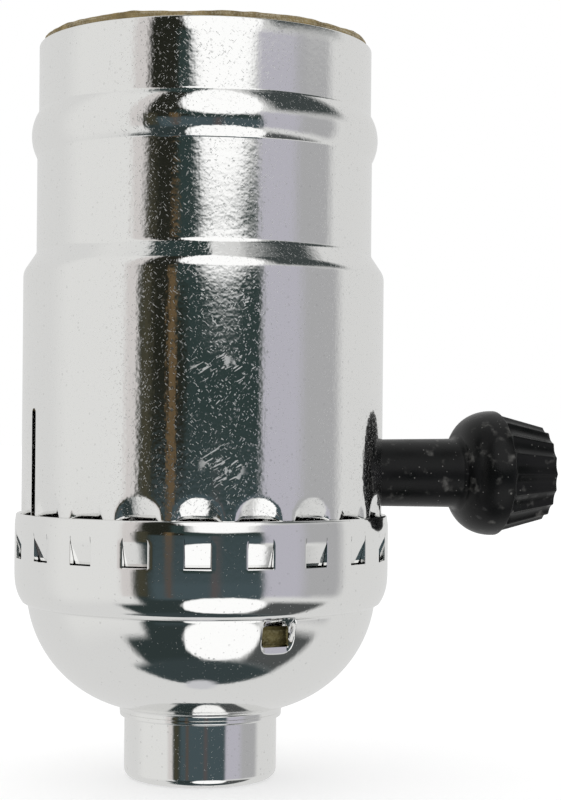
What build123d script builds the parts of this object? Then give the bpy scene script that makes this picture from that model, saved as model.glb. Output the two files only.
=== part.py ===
from build123d import *
import math
import os

# Turn-knob lamp socket for a medium screw-base lamp, sizes in millimetres.
# The frame's origin is the centre of the hub's lower face, on the socket's axis.
# +Z runs up that axis to the lamp, and +X along the knob.
# Radii grow outward from the lamp's thread, and heights upward from the hub, each by a named step.

# Standards that the rest is built round
screw_radius = 12.15         # minor radius of the medium lamp thread
screw_depth = 1.2
screw_pitch = 25.4 / 7
thread_radius = 4.55         # minor radius of the eighth-inch pipe thread

# Walls and fits
sheet = 0.4                  # thickness of the shell's and the cap's sheet
leaf = 0.4                   # thickness of each spring leaf
plate = 0.5                  # thickness of the terminals
liner_wall = 0.8
cup_wall = 0.6
screw_wall = 0.35
clearance = 0.15             # round the pieces that drop into the body's pockets
running = 0.05               # round the shaft
liner_gap = 0.07             # shell liner to the shell's mouth
liner_room = 0.6             # screw shell's thread to the shell liner
body_gap = 0.2               # moulded body's flange to the shell liner
cap_gap = 0.2                # shell's barrel to the cap's band
cup_gap = 0.1                # cap liner to the dome
leaf_clearance = 0.1         # leaves to the rotor and the cam

# Threaded hub bushing and its set screw
hub_wall = 2.6
hub_edge_round = 0.9
hub_lip = 0.6                # how far the hub's lip stands out
hub_lip_low = 5.75
hub_lip_height = 0.55
hub_neck_wall = 1.65
hub_stake_width = 0.8
hub_stake = 0.6
thread_chamfer = 0.4
set_screw_radius = 1.75
set_screw_drop = 0.7         # from the lip down to the set screw's edge
set_screw_gap = 0.25         # from the screw's point to the thread
set_screw_angle = 90.0
set_screw_slot = 0.7

# Cap: collar, dome, ledge, tuck and band
collar_setback = 0.15        # inside the hub's lip
collar_rise = 0.45
collar_fillet = 0.5
dome_radius = 11.5
dome_rise = 9.45
ledge_width = 0.5
ledge_rise = 0.3
tuck_width = 0.75
tuck_rise = 3.1
cap_lip_round = 0.15
lip_turn = 0.12              # how far the band's upper edge leans inward
lip_rise = 1.0

# Snap catches: tabs lanced from the cap's band, pressed into dents in the shell's lower edge
catch_count = 20
catch_phase = 3.75           # degrees from the knob's direction to the first catch
catch_width = 2.3
catch_height = 2.55
catch_below = 1.1            # band left under the catches
catch_above = 0.5
catch_press = 0.6            # how far a tab's free end is pressed inward
catch_gap = 0.04             # round a tab's free edges
dent_width = 4.2
dent_depth = 0.65
dent_reach = 2.15            # how far the dents show over the cap

# Scoop pressed into the dome, with a hole through its floor
scoop_angle = -78.1
scoop_width = 3.25
scoop_height = 3.45
scoop_drop = 0.15            # below the ledge
scoop_depth = 1.35
scoop_land = 0.25            # straight part left between the scoop's two lower rounds
scoop_hole_side = 0.425      # floor left beside, over and under the hole
scoop_hole_above = 0.5
scoop_hole_below = 1.25
scoop_hole_corner = 0.2

# Drawn metal shell
shell_sink = 0.3             # how far the shell reaches down behind the tuck
barrel_height = 27.8
shoulder_step = 1.2
shoulder_height = 1.8
shoulder_rounds = (1.6, 0.7)
neck_height = 8.9
neck_step = 0.13
bead_rise = 0.7
bead_height = 4.2
mouth_height = 6.2
slit_width = 0.9
slit_height = 15.1
slot_clearance = 0.45        # between the knob's stem and the slot's edge

# Fibre liners
liner_rise = 0.8             # how far the shell liner stands out of the mouth
liner_lift = 0.25            # over the moulded body's foot
cup_lift = 1.7               # cap liner's floor over the hub
cup_depth = 12.85
cup_lip = 0.1                # past the body's flange
cord_room = 1.45

# Moulded switch body
flange_step = 0.6
flange_thickness = 1.2
lower_height = 6.75          # foot to the knob's axis
upper_height = 9.4
boss_radius = 5.6
boss_height = 2.2
edge_round = 0.4

# Screw shell for a medium lamp base
screw_height = 17.1
crest_half = 0.5             # half the width of the thread's outer crest
flank = 0.45                 # width of a flank
thread_start = 33.0          # polar angle where the thread begins
foot_step = 0.3              # how far the plain band below the thread stands in
foot_lean = 0.6
lip_flare = 1.0
lip_height = 0.9
boss_gap = 0.4

# Centre contact
tongue_width = 5.0
tongue_peak = 1.4
tongue_rise = 1.7
tongue_setback = 0.6
tongue_bend = 1.0
rivet_land = 0.3             # flat left past a rivet's head

# Rotary switch
shaft_radius = 1.6
shaft_flat = 0.5             # how deep each of the shaft's four flats is
journal_length = 2.0
thrust_rim = 1.1
thrust_width = 1.0
thrust_wall = 1.0
rotor_radius = 3.4
rotor_rear = -4.4
rotor_length = 3.8
chamber_room = 0.7           # round the rotor's bridge
chamber_end = 0.4
bridge_wall = 0.4
bridge_length = 2.5
bridge_half_angle = 28.0
cam_flat = 2.8
cam_corner = 3.5
cam_space = 1.0
cam_length = 2.2
cam_room = 3.0
leaf_bend = 0.6
leaf_rise = 2.5
upper_leaf_reach = 4.4
upper_leaf_end = -1.5
detent_reach = 5.8
detent_lift = 0.95

# Terminals
plate_width = 7.8
plate_setback = 3.1          # terminal's face inside the body's side
plate_lift = 0.55
plate_drop = 0.4
plate_corner = 0.6
recess_room = 0.4
foot_gap = 0.2
contact_land = 0.15          # metal left between the leaf's slot and the screw's hole
lower_contact_end = 1.6
screw_rise = 2.8
screw_shank_radius = 1.6
screw_length = 3.8
screw_head_radius = 2.9
screw_head = 1.6
driver_slot = 0.8
driver_slot_depth = 0.7

# Rivets
rivet_radius = 1.15
rivet_head_radius = 1.7
rivet_head = 0.7
rivet_chamfer = 0.3
rivet_angle = 40.0
rivet_side = 0.35            # body rivets' heads to the screw shell's wall
rivet_edge = 0.05            # neutral rivet's head to the screw shell's hole
neutral_rivet_length = 5.0
centre_rivet_radius = 1.0
centre_rivet_head_radius = 1.7

# Knob
quarter_turn = 90.0          # of the swell's elliptical section
knob_gap = 2.0               # from the moulded body
stem_radius = 3.2
stem_taper = 0.15
stem_length = 10.0
stem_fillet = 0.8
swell_length = 3.5
swell_rise = 2.75
flange_width = 0.66
flange_fall = 0.4
flute_step = 0.35
grip_length = 4.64
grip_taper = 1.15
flute_count = 18
flute_depth = 0.38
bore_length = 8.5
insert_wall = 0.6
insert_setback = 0.3
insert_space = 0.4
shaft_space = 0.8

# Radii, from the lamp's thread outward
screw_outside = screw_radius + screw_wall
lip_radius = screw_outside + lip_flare
foot_radius = screw_radius - foot_step
floor_hole = boss_radius + boss_gap
liner_bore = screw_outside + screw_depth + liner_room
liner_radius = liner_bore + liner_wall
mouth_radius = liner_radius + liner_gap + sheet
neck_radius = mouth_radius + neck_step
bead_radius = neck_radius + bead_rise
barrel_radius = neck_radius + shoulder_step
cap_radius = barrel_radius + cap_gap + sheet
flange_radius = liner_bore - body_gap
body_radius = flange_radius - flange_step
cup_radius = flange_radius + cup_lip

# Radii, from the pipe's thread outward
hub_radius = thread_radius + hub_wall
hub_lip_radius = hub_radius + hub_lip
hub_neck_radius = thread_radius + hub_neck_wall
hub_stake_radius = hub_neck_radius + hub_stake_width
collar_radius = hub_lip_radius - collar_setback
cord_hole = thread_radius + cord_room

# Heights, from the hub's lower face upward
set_screw_height = hub_lip_low - set_screw_drop - set_screw_radius
collar_bottom = hub_lip_low + hub_lip_height
collar_corner = collar_bottom + collar_rise
ledge_low = collar_corner + dome_rise
ledge_high = ledge_low + ledge_rise
band_low = ledge_high + tuck_rise
catch_low = band_low + catch_below
catch_high = catch_low + catch_height
lip_low = catch_high + catch_above
cap_top = lip_low + lip_rise
dent_top = cap_top + dent_reach
shell_bottom = band_low - shell_sink
slit_top = shell_bottom + slit_height
shoulder_low = shell_bottom + barrel_height
shoulder_high = shoulder_low + shoulder_height
bead_low = shoulder_high + neck_height
bead_high = bead_low + bead_height
shell_top = bead_high + mouth_height
liner_top = shell_top + liner_rise
hub_top = collar_bottom + sheet + hub_stake
cup_floor = hub_top + cup_lift
body_foot = cup_floor + cup_depth
liner_bottom = body_foot + liner_lift
body_split = body_foot + lower_height          # height of the knob's axis
body_top = body_split + upper_height
boss_top = body_top + boss_height
screw_low = boss_top + tongue_rise + leaf
screw_top = screw_low + screw_height

# Cap
ledge_outer = (cap_radius - tuck_width, ledge_high)
ledge_inner = (cap_radius - tuck_width - ledge_width, ledge_low)
scoop_top = ledge_low - scoop_drop
scoop_bottom = scoop_top - scoop_height
scoop_floor = ledge_inner[0] - scoop_depth     # distance of its floor from the socket's axis
scoop_hole_width = scoop_width - 2 * scoop_hole_side
scoop_hole_low = scoop_bottom + scoop_hole_below
scoop_hole_high = scoop_top - scoop_hole_above
catch_pitch = 360 / catch_count
slit_angle = catch_phase + 10.5 * catch_pitch

# Terminals, contacts and rivets
plate_face = body_radius - plate_setback
plate_bottom = body_foot + plate_lift
plate_top = body_split - plate_drop
recess_width = plate_width + 2 * recess_room
foot_inner = floor_hole + foot_gap
contact_start = -plate_width / 2
contact_width = plate_width / 2 - screw_shank_radius - clearance - contact_land
contact_middle = contact_start + contact_width / 2
terminal_screw_height = plate_bottom + screw_rise
screw_shank_end = plate_face - screw_length
rivet_circle = foot_radius - rivet_head_radius - rivet_side
neutral_rivet_place = floor_hole + rivet_head_radius + rivet_edge
neutral_rivet_seat = body_top - neutral_rivet_length
centre_rivet_place = (contact_middle, 0)
tongue_foot = contact_middle + centre_rivet_head_radius + rivet_land
tongue_tip = boss_radius - tongue_setback

# Rotary switch, along the knob's axis
shaft_square = 2 * (shaft_radius - shaft_flat)
journal_radius = shaft_radius - shaft_flat
thrust_radius = shaft_radius + thrust_rim
chamber_radius = rotor_radius + bridge_wall + chamber_room
chamber_rear = rotor_rear - bridge_wall - chamber_end
shaft_rear = chamber_rear - journal_length
rotor_front = rotor_rear + rotor_length
bridge_front = rotor_rear + bridge_length
cam_rear = rotor_front + cam_space
cam_front = cam_rear + cam_length
chamber_front = cam_front + cam_room
thrust_start = chamber_front + thrust_wall
leaf_under = body_split - rotor_radius - bridge_wall - leaf_clearance
leaf_over = body_split + rotor_radius + bridge_wall + leaf_clearance
upper_leaf_height = leaf_over + leaf_rise
cam_leaf = body_split - cam_corner - leaf_clearance
detent_foot = body_foot + detent_lift

# Knob, along its axis
stem_start = body_radius + knob_gap
stem_end_radius = stem_radius + stem_taper
slot_half_width = stem_end_radius + slot_clearance
flange_start = stem_start + stem_length
flange_peak = flange_start + swell_length
knob_flange_radius = stem_end_radius + swell_rise
flute_start = flange_peak + flange_width
flute_start_radius = knob_flange_radius - flute_step
knob_end = flute_start + grip_length
knob_end_radius = flute_start_radius - grip_taper
knob_bore = shaft_radius + insert_wall
knob_bore_end = stem_start + bore_length
insert_start = stem_start + insert_setback
insert_end = knob_bore_end - insert_space
shaft_end = insert_end - shaft_space


def radial_plane(angle, distance=0.0, height=0.0):
    """A plane that faces outward at a polar angle: its x runs round the axis, its y up."""
    turn = math.radians(angle)
    outward = Vector(math.cos(turn), math.sin(turn), 0)
    round_axis = Vector(-math.sin(turn), math.cos(turn), 0)
    return Plane(origin=outward * distance + Vector(0, 0, height), x_dir=round_axis, z_dir=outward)


def arc_centre(start, end, radius):
    """Centre of the arc that bulges away from the axis between two points of a section."""
    half = Vector(end[0] - start[0], end[1] - start[1]) * 0.5
    rise = math.sqrt(radius**2 - half.length**2)
    centre = Vector(start[0], start[1]) + half + Vector(half.Y, -half.X).normalized() * rise
    return centre.X, centre.Y


def write(builder, name):
    """Labels a finished piece and writes its STEP file."""
    builder.part.label = name
    export_step(builder.part, f"parts/{name}.step")


os.makedirs("parts", exist_ok=True)

# Shell: one drawn piece, with dents pressed into its lower edge.
# The dents are capsules, and the same capsules grown by the sheet shape the inside.
dent_half = dent_width / 2
dent_sagitta = dent_depth - (barrel_radius - math.sqrt(barrel_radius**2 - dent_half**2))
dent_tool_radius = (dent_half**2 + dent_sagitta**2) / (2 * dent_sagitta)
dent_tool_place = barrel_radius - dent_depth + dent_tool_radius
dent_tool_top = dent_top - dent_half


def shell_form(inset):
    """The shell's outline as a filled form, moved inward by the inset, dents included."""
    with BuildPart() as form:
        with BuildSketch(Plane.XZ):
            with BuildLine():
                lower = FilletPolyline(
                    (barrel_radius - inset, shell_bottom),
                    (barrel_radius - inset, shoulder_low),
                    (neck_radius - inset, shoulder_high),
                    (neck_radius - inset, bead_low),
                    radius=shoulder_rounds,
                )
                bead = ThreePointArc(
                    lower @ 1,
                    (bead_radius - inset, (bead_low + bead_high) / 2),
                    (mouth_radius - inset, bead_high),
                )
                Polyline(
                    bead @ 1,
                    (mouth_radius - inset, shell_top),
                    (0, shell_top),
                    (0, shell_bottom),
                    lower @ 0,
                )
            make_face()
        revolve(axis=Axis.Z)
        with PolarLocations(dent_tool_place, catch_count, start_angle=catch_phase):
            with Locations((0, 0, shell_bottom)):
                Cylinder(
                    dent_tool_radius + inset,
                    dent_tool_top - shell_bottom,
                    align=(Align.CENTER, Align.CENTER, Align.MIN),
                    mode=Mode.SUBTRACT,
                )
            with Locations((0, 0, dent_tool_top)):
                Sphere(dent_tool_radius + inset, mode=Mode.SUBTRACT)
    return form.part


shell_outside = shell_form(0)
shell_inside = shell_form(sheet)

with BuildPart() as shell:
    add(shell_outside)
    add(shell_inside, mode=Mode.SUBTRACT)
    # Slot that the knob's stem passes, open at the bottom
    with BuildSketch(Plane.YZ.offset(neck_radius - liner_wall)):
        with Locations((0, body_split)):
            Circle(slot_half_width)
        with Locations((0, shell_bottom)):
            Rectangle(2 * slot_half_width, body_split - shell_bottom, align=(Align.CENTER, Align.MIN))
    extrude(amount=cap_radius, mode=Mode.SUBTRACT)
    # Slit that lets the lower edge spring
    with BuildSketch(radial_plane(slit_angle)):
        with Locations((0, shell_bottom)):
            Rectangle(slit_width, slit_top - slit_width / 2 - shell_bottom, align=(Align.CENTER, Align.MIN))
        with Locations((0, slit_top - slit_width / 2)):
            Circle(slit_width / 2)
    extrude(amount=cap_radius, mode=Mode.SUBTRACT)
write(shell, "shell")

# Shell liner: a fibre tube slotted for the shaft, standing a little out of the mouth
with BuildPart() as shell_liner:
    with BuildSketch(Plane.XY.offset(liner_bottom)):
        Circle(liner_radius)
        Circle(liner_bore, mode=Mode.SUBTRACT)
    extrude(amount=liner_top - liner_bottom)
    with BuildSketch(Plane.YZ):
        with Locations((0, body_split)):
            Circle(slot_half_width)
        with Locations((0, liner_bottom)):
            Rectangle(2 * slot_half_width, body_split - liner_bottom, align=(Align.CENTER, Align.MIN))
    extrude(amount=cap_radius, mode=Mode.SUBTRACT)
write(shell_liner, "shell_liner")

# Cap: a drawn band and dome with a floor that the hub is staked to.
# Its hollow is the outline moved inward by the sheet, and so is the scoop.
lip_reach = (2 * cap_top - lip_low) / (cap_top - lip_low)


def cap_form(inset):
    """The cap's outline as a filled form, moved inward by the inset, scoop included."""
    with BuildPart() as form:
        with BuildSketch(Plane.XZ) as section:
            with BuildLine():
                lean = Line((cap_radius - lip_turn * lip_reach, 2 * cap_top), (cap_radius, lip_low))
                band = Line(lean @ 1, (cap_radius, band_low))
                tuck = TangentArc(band @ 1, ledge_outer, tangent=(0, -1))
                ledge = Line(tuck @ 1, ledge_inner)
                dome = RadiusArc(ledge @ 1, (collar_radius, collar_corner), dome_radius)
                collar = Line(dome @ 1, (collar_radius, collar_bottom))
                Polyline(collar @ 1, (-cap_radius, collar_bottom), (-cap_radius, 2 * cap_top), lean @ 0)
            make_face()
            corner = section.vertices().sort_by_distance((collar_radius, collar_corner, 0))[0]
            fillet(corner, collar_fillet)
            if inset:
                offset(amount=-inset)
            Rectangle(cap_radius, cap_top, align=(Align.MIN, Align.MIN), mode=Mode.INTERSECT)
        revolve(axis=Axis.Z)
        with BuildSketch(radial_plane(scoop_angle, scoop_floor - inset)) as scoop:
            with Locations((0, scoop_bottom)):
                Rectangle(
                    scoop_width + 2 * inset,
                    scoop_top - scoop_bottom,
                    align=(Align.CENTER, Align.MIN),
                )
            lower_corners = scoop.vertices().sort_by(Axis.Y)[:2]
            fillet(lower_corners, scoop_width / 2 + inset - scoop_land)
        extrude(amount=cap_radius, mode=Mode.SUBTRACT)
    return form.part


cap_outside = cap_form(0)
cap_inside = cap_form(sheet)

# Each catch is a square cut through the band and a tilted tab that hangs from the cut's upper edge
tab_half = catch_width / 2 - catch_gap
tab_face = math.sqrt(cap_radius**2 - tab_half**2)
tab_foot = catch_low + catch_gap

with BuildPart() as catch_cut:
    with BuildSketch(Plane.YZ.offset(cap_radius - 2 * sheet)):
        with Locations((0, catch_low)):
            Rectangle(catch_width, catch_high - catch_low, align=(Align.CENTER, Align.MIN))
    extrude(amount=4 * sheet)

with BuildPart() as catch_tab:
    with BuildSketch(Plane.XZ):
        with BuildLine():
            Polyline(
                (tab_face, catch_high),
                (tab_face - catch_press, tab_foot),
                (tab_face - catch_press - sheet, tab_foot),
                (tab_face - sheet, catch_high),
                close=True,
            )
        make_face()
    extrude(amount=tab_half, both=True)

with BuildPart() as cap:
    add(cap_outside)
    add(cap_inside, mode=Mode.SUBTRACT)
    lip_edges = cap.edges().filter_by(GeomType.CIRCLE).group_by(Axis.Z)[-1]
    fillet(lip_edges, cap_lip_round)
    # Hole for the hub's neck
    Cylinder(hub_neck_radius, 2 * cap_top, mode=Mode.SUBTRACT)
    with PolarLocations(0, catch_count, start_angle=catch_phase):
        add(catch_cut.part, mode=Mode.SUBTRACT)
    with PolarLocations(0, catch_count, start_angle=catch_phase):
        add(catch_tab.part)
    # Hole through the scoop's floor
    with BuildSketch(radial_plane(scoop_angle, cup_radius)):
        with Locations((0, (scoop_hole_low + scoop_hole_high) / 2)):
            RectangleRounded(scoop_hole_width, scoop_hole_high - scoop_hole_low, scoop_hole_corner)
    extrude(amount=cap_radius - cup_radius, mode=Mode.SUBTRACT)
write(cap, "cap")

# Hub bushing: a threaded collar under the cap, staked over its floor
with BuildPart() as hub_bushing:
    with BuildSketch(Plane.XZ) as section:
        with BuildLine():
            Polyline(
                (thread_radius, 0),
                (hub_radius, 0),
                (hub_radius, hub_lip_low),
                (hub_lip_radius, hub_lip_low),
                (hub_lip_radius, collar_bottom),
                (hub_neck_radius, collar_bottom),
                (hub_neck_radius, collar_bottom + sheet),
                (hub_stake_radius, collar_bottom + sheet),
                (hub_stake_radius, hub_top),
                (thread_radius, hub_top),
                close=True,
            )
        make_face()
        fillet(section.vertices().sort_by_distance((hub_radius, 0, 0))[0], hub_edge_round)
        chamfer(section.vertices().sort_by_distance((thread_radius, 0, 0))[0], thread_chamfer)
        chamfer(section.vertices().sort_by_distance((thread_radius, hub_top, 0))[0], thread_chamfer)
    revolve(axis=Axis.Z)
    with BuildSketch(radial_plane(set_screw_angle)):
        with Locations((0, set_screw_height)):
            Circle(set_screw_radius)
    extrude(amount=cap_radius, mode=Mode.SUBTRACT)
write(hub_bushing, "hub_bushing")

# Set screw: a short slotted screw that grips the threaded pipe
with BuildPart() as set_screw:
    with BuildSketch(radial_plane(set_screw_angle, thread_radius + set_screw_gap)):
        with Locations((0, set_screw_height)):
            Circle(set_screw_radius)
    extrude(amount=hub_radius - thread_radius - 2 * set_screw_gap)
    with BuildSketch(radial_plane(set_screw_angle, hub_radius)):
        with Locations((0, set_screw_height)):
            Rectangle(2 * set_screw_radius, set_screw_slot)
    extrude(amount=-driver_slot_depth - set_screw_gap, mode=Mode.SUBTRACT)
write(set_screw, "set_screw")

# Cap liner: a fibre cup that follows the dome, with a hole for the cord
dome_centre_radius, dome_centre_height = arc_centre(ledge_inner, (collar_radius, collar_corner), dome_radius)
cup_arc = dome_radius - sheet - cup_gap


def cup_height(distance, arc):
    """Height of a concentric arc inside the dome, at a distance from the axis."""
    return dome_centre_height - math.sqrt(arc**2 - (distance - dome_centre_radius) ** 2)


def cup_reach(height, arc):
    """Distance from the axis of a concentric arc inside the dome, at a height."""
    return dome_centre_radius + math.sqrt(arc**2 - (dome_centre_height - height) ** 2)


with BuildPart() as cap_liner:
    with BuildSketch(Plane.XZ):
        with BuildLine():
            floor_edge = (cup_reach(cup_floor, cup_arc), cup_floor)
            side_foot = (cup_radius, cup_height(cup_radius, cup_arc))
            inner_arc = cup_arc - cup_wall
            inner_side = cup_radius - cup_wall
            inner_foot = (inner_side, cup_height(inner_side, inner_arc))
            inner_floor = cup_floor + cup_wall
            inner_edge = (cup_reach(inner_floor, inner_arc), inner_floor)
            outer_curve = RadiusArc(side_foot, floor_edge, cup_arc)
            under = Line(outer_curve @ 1, (cord_hole, cup_floor))
            step = Line(under @ 1, (cord_hole, inner_floor))
            top_floor = Line(step @ 1, inner_edge)
            inner_curve = RadiusArc(top_floor @ 1, inner_foot, -inner_arc)
            inside_wall = Line(inner_curve @ 1, (inner_side, body_foot))
            Polyline(inside_wall @ 1, (cup_radius, body_foot), outer_curve @ 0)
        make_face()
    revolve(axis=Axis.Z)
write(cap_liner, "cap_liner")

# Moulded body, lower half: it seats on the cap liner's rim.
# Its pockets hold the terminals, the detent spring and half of the rotary switch.
rotor_rooms = (
    (shaft_rear - clearance, chamber_rear, journal_radius + running),
    (chamber_rear, chamber_front, chamber_radius),
    (chamber_front, thrust_start - running, shaft_radius + running),
    (thrust_start - running, thrust_start + thrust_width + running, thrust_radius + clearance),
    (thrust_start + thrust_width + running, body_radius, shaft_radius + running),
)

with BuildPart() as switch_room:
    for room_start, room_end, room_radius in rotor_rooms:
        with BuildSketch(Plane.YZ.offset(room_start)):
            with Locations((0, body_split)):
                Circle(room_radius)
        extrude(amount=room_end - room_start)

rivet_spots = [
    (rivet_circle * math.cos(math.radians(turn)), rivet_circle * math.sin(math.radians(turn)))
    for turn in (rivet_angle, rivet_angle + 180)
]
recess_floor = plate_face - plate
contact_room = contact_width + 2 * clearance
rivet_room = 2 * (centre_rivet_head_radius + clearance)
detent_middle = (cam_rear + cam_front) / 2
detent_width = cam_front - cam_rear - 2 * leaf_clearance

with BuildPart() as base_insulator:
    with BuildSketch(Plane.XY.offset(body_foot)):
        Circle(flange_radius)
    extrude(amount=flange_thickness)
    with BuildSketch(Plane.XY.offset(body_foot)):
        Circle(body_radius)
    extrude(amount=body_split - body_foot)
    # Recesses for the two terminals
    with BuildSketch(Plane.XY.offset(body_foot)):
        with Locations((0, recess_floor + flange_radius / 2), (0, -recess_floor - flange_radius / 2)):
            Rectangle(recess_width, flange_radius)
    extrude(amount=body_split - body_foot, mode=Mode.SUBTRACT)
    # Holes for the terminal screws
    for side in (90, -90):
        with BuildSketch(radial_plane(side, screw_shank_end - clearance, terminal_screw_height)):
            Circle(screw_shank_radius)
        extrude(amount=recess_floor - screw_shank_end + 2 * clearance, mode=Mode.SUBTRACT)
    add(switch_room.part, mode=Mode.SUBTRACT)
    # Slot under the lower contact leaf
    with BuildSketch(Plane.XY.offset(leaf_under - leaf)):
        with Locations((contact_middle, lower_contact_end + clearance)):
            Rectangle(contact_room, recess_floor + lower_contact_end + 2 * clearance, align=(Align.CENTER, Align.MAX))
    extrude(amount=body_split - leaf_under + leaf, mode=Mode.SUBTRACT)
    # Pocket for the detent spring
    with BuildSketch(Plane.XY.offset(detent_foot)):
        with Locations((detent_middle, 0)):
            Rectangle(detent_width + 2 * clearance, 2 * (detent_reach + clearance))
    extrude(amount=body_split - detent_foot, mode=Mode.SUBTRACT)
    with BuildSketch(Plane.XY.offset(body_foot)):
        with Locations(*rivet_spots):
            Circle(rivet_radius)
    extrude(amount=body_split - body_foot, mode=Mode.SUBTRACT)
write(base_insulator, "base_insulator")

# Moulded body, upper half: its boss carries the centre contact above the screw shell's floor
with BuildPart() as upper_insulator:
    with BuildSketch(Plane.XY.offset(body_split)):
        Circle(body_radius)
    extrude(amount=body_top - body_split)
    with BuildSketch(Plane.XY.offset(body_top)):
        Circle(boss_radius)
    extrude(amount=boss_height)
    fillet(upper_insulator.edges().group_by(Axis.Z)[-1], edge_round)
    # Recess for the neutral terminal and for its foot
    with BuildSketch(Plane.XY.offset(body_split)):
        with Locations((0, recess_floor + flange_radius / 2)):
            Rectangle(recess_width, flange_radius)
    extrude(amount=body_top - body_split, mode=Mode.SUBTRACT)
    with BuildSketch(Plane.XY.offset(body_top - plate)):
        with Locations((0, foot_inner - clearance)):
            Rectangle(recess_width, recess_floor, align=(Align.CENTER, Align.MIN))
    extrude(amount=plate, mode=Mode.SUBTRACT)
    add(switch_room.part, mode=Mode.SUBTRACT)
    # Room for the upper contact leaf and its rivet
    with BuildSketch(Plane.XY.offset(body_split)):
        with Locations((centre_rivet_place[0], upper_leaf_reach + clearance)):
            Rectangle(
                rivet_room,
                upper_leaf_reach + rivet_room / 2 + 2 * clearance,
                align=(Align.CENTER, Align.MAX),
            )
    extrude(amount=upper_leaf_height + leaf - body_split, mode=Mode.SUBTRACT)
    # Rivet holes
    with BuildSketch(Plane.XY.offset(body_split)):
        with Locations(*rivet_spots, (0, neutral_rivet_place)):
            Circle(rivet_radius)
    extrude(amount=body_top - body_split, mode=Mode.SUBTRACT)
    with BuildSketch(Plane.XY.offset(body_split)):
        with Locations((0, neutral_rivet_place)):
            Circle(rivet_head_radius + clearance)
    extrude(amount=neutral_rivet_seat - body_split, mode=Mode.SUBTRACT)
    with BuildSketch(Plane.XY.offset(upper_leaf_height)):
        with Locations(centre_rivet_place):
            Circle(centre_rivet_radius)
    extrude(amount=boss_top - upper_leaf_height, mode=Mode.SUBTRACT)
write(upper_insulator, "upper_insulator")

# Screw shell: a drawn cup with a flared lip, and the lamp thread rolled into its wall.
# The thread is a helical ridge outside, and the same ridge moved inward by the wall is the groove inside.
screw_rim = screw_top + lip_height
flank_stretch = math.hypot(flank, screw_depth) / screw_depth


def screw_ridge(inset):
    """The rolled thread as a filled ridge, moved inward by the inset."""
    top_half = crest_half - inset * (flank_stretch - flank / screw_depth)
    foot_half = top_half + flank
    wall = screw_outside - inset
    sunk = wall - screw_wall / 2
    sunk_half = foot_half + (wall - sunk) * flank / screw_depth
    margin = crest_half + flank
    start = (0, 0, screw_low + margin)
    with BuildPart() as form:
        with BuildLine():
            Helix(screw_pitch, screw_height - 2 * margin, wall, center=start)
        with BuildSketch(Plane(start, x_dir=(1, 0, 0), z_dir=(0, -1, 0))):
            with BuildLine():
                Polyline(
                    (sunk, -sunk_half),
                    (wall + screw_depth, -top_half),
                    (wall + screw_depth, top_half),
                    (sunk, sunk_half),
                    close=True,
                )
            make_face()
        sweep(is_frenet=True)
    return Rot(0, 0, thread_start) * form.part


def screw_form(inset):
    """The screw shell's outline as a filled form, moved inward by the inset, thread included."""
    with BuildPart() as form:
        with BuildSketch(Plane.XZ):
            with BuildLine():
                Polyline(
                    (0, body_top + inset),
                    (foot_radius + screw_wall - inset, body_top + inset),
                    (foot_radius + screw_wall - inset, screw_low - foot_lean),
                    (screw_outside - inset, screw_low),
                    (screw_outside - inset, screw_top),
                    (lip_radius - inset, screw_rim),
                    (0, screw_rim),
                    close=True,
                )
            make_face()
        revolve(axis=Axis.Z)
        floor_edge = form.edges().filter_by(GeomType.CIRCLE).group_by(Axis.Z)[0]
        if inset < screw_wall:
            fillet(floor_edge, screw_wall)
        add(screw_ridge(inset))
    return form.part


with BuildPart() as screw_shell:
    add(screw_form(0))
    add(screw_form(screw_wall), mode=Mode.SUBTRACT)
    with BuildSketch(Plane.XY.offset(body_top)):
        Circle(floor_hole)
        with Locations(*rivet_spots, (0, neutral_rivet_place)):
            Circle(rivet_radius)
    extrude(amount=screw_wall, mode=Mode.SUBTRACT)
write(screw_shell, "screw_shell")

# Centre contact: a springy tongue bent from strip and riveted to the boss
with BuildPart() as centre_contact:
    with BuildSketch(Plane.XZ):
        with BuildLine():
            FilletPolyline(
                (-boss_radius + edge_round, boss_top + leaf / 2),
                (tongue_foot, boss_top + leaf / 2),
                (tongue_peak, boss_top + tongue_rise),
                (tongue_tip, boss_top + leaf),
                radius=tongue_bend,
            )
        trace(line_width=leaf)
    extrude(amount=tongue_width / 2, both=True)
    with BuildSketch(Plane.XY.offset(body_top)):
        SlotOverall(2 * (boss_radius - edge_round), tongue_width)
    extrude(amount=2 * boss_height, mode=Mode.INTERSECT)
    with BuildSketch(Plane.XY.offset(boss_top)):
        with Locations(centre_rivet_place):
            Circle(centre_rivet_radius)
    extrude(amount=leaf, mode=Mode.SUBTRACT)
write(centre_contact, "centre_contact")

# Upper contact: a hairpin leaf under the boss, its free leg over the rotor
with BuildPart() as upper_contact:
    with BuildSketch(Plane.YZ.offset(contact_start)):
        with BuildLine():
            FilletPolyline(
                (-centre_rivet_head_radius, upper_leaf_height + leaf / 2),
                (upper_leaf_reach - leaf / 2, upper_leaf_height + leaf / 2),
                (upper_leaf_reach - leaf / 2, leaf_over + leaf / 2),
                (upper_leaf_end, leaf_over + leaf / 2),
                radius=leaf_bend,
            )
        trace(line_width=leaf)
    extrude(amount=contact_width)
    with BuildSketch(Plane.XY.offset(upper_leaf_height)):
        with Locations(centre_rivet_place):
            Circle(centre_rivet_head_radius)
    extrude(amount=leaf)
    with BuildSketch(Plane.XY.offset(upper_leaf_height)):
        with Locations(centre_rivet_place):
            Circle(centre_rivet_radius)
    extrude(amount=leaf, mode=Mode.SUBTRACT)
write(upper_contact, "upper_contact")

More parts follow.
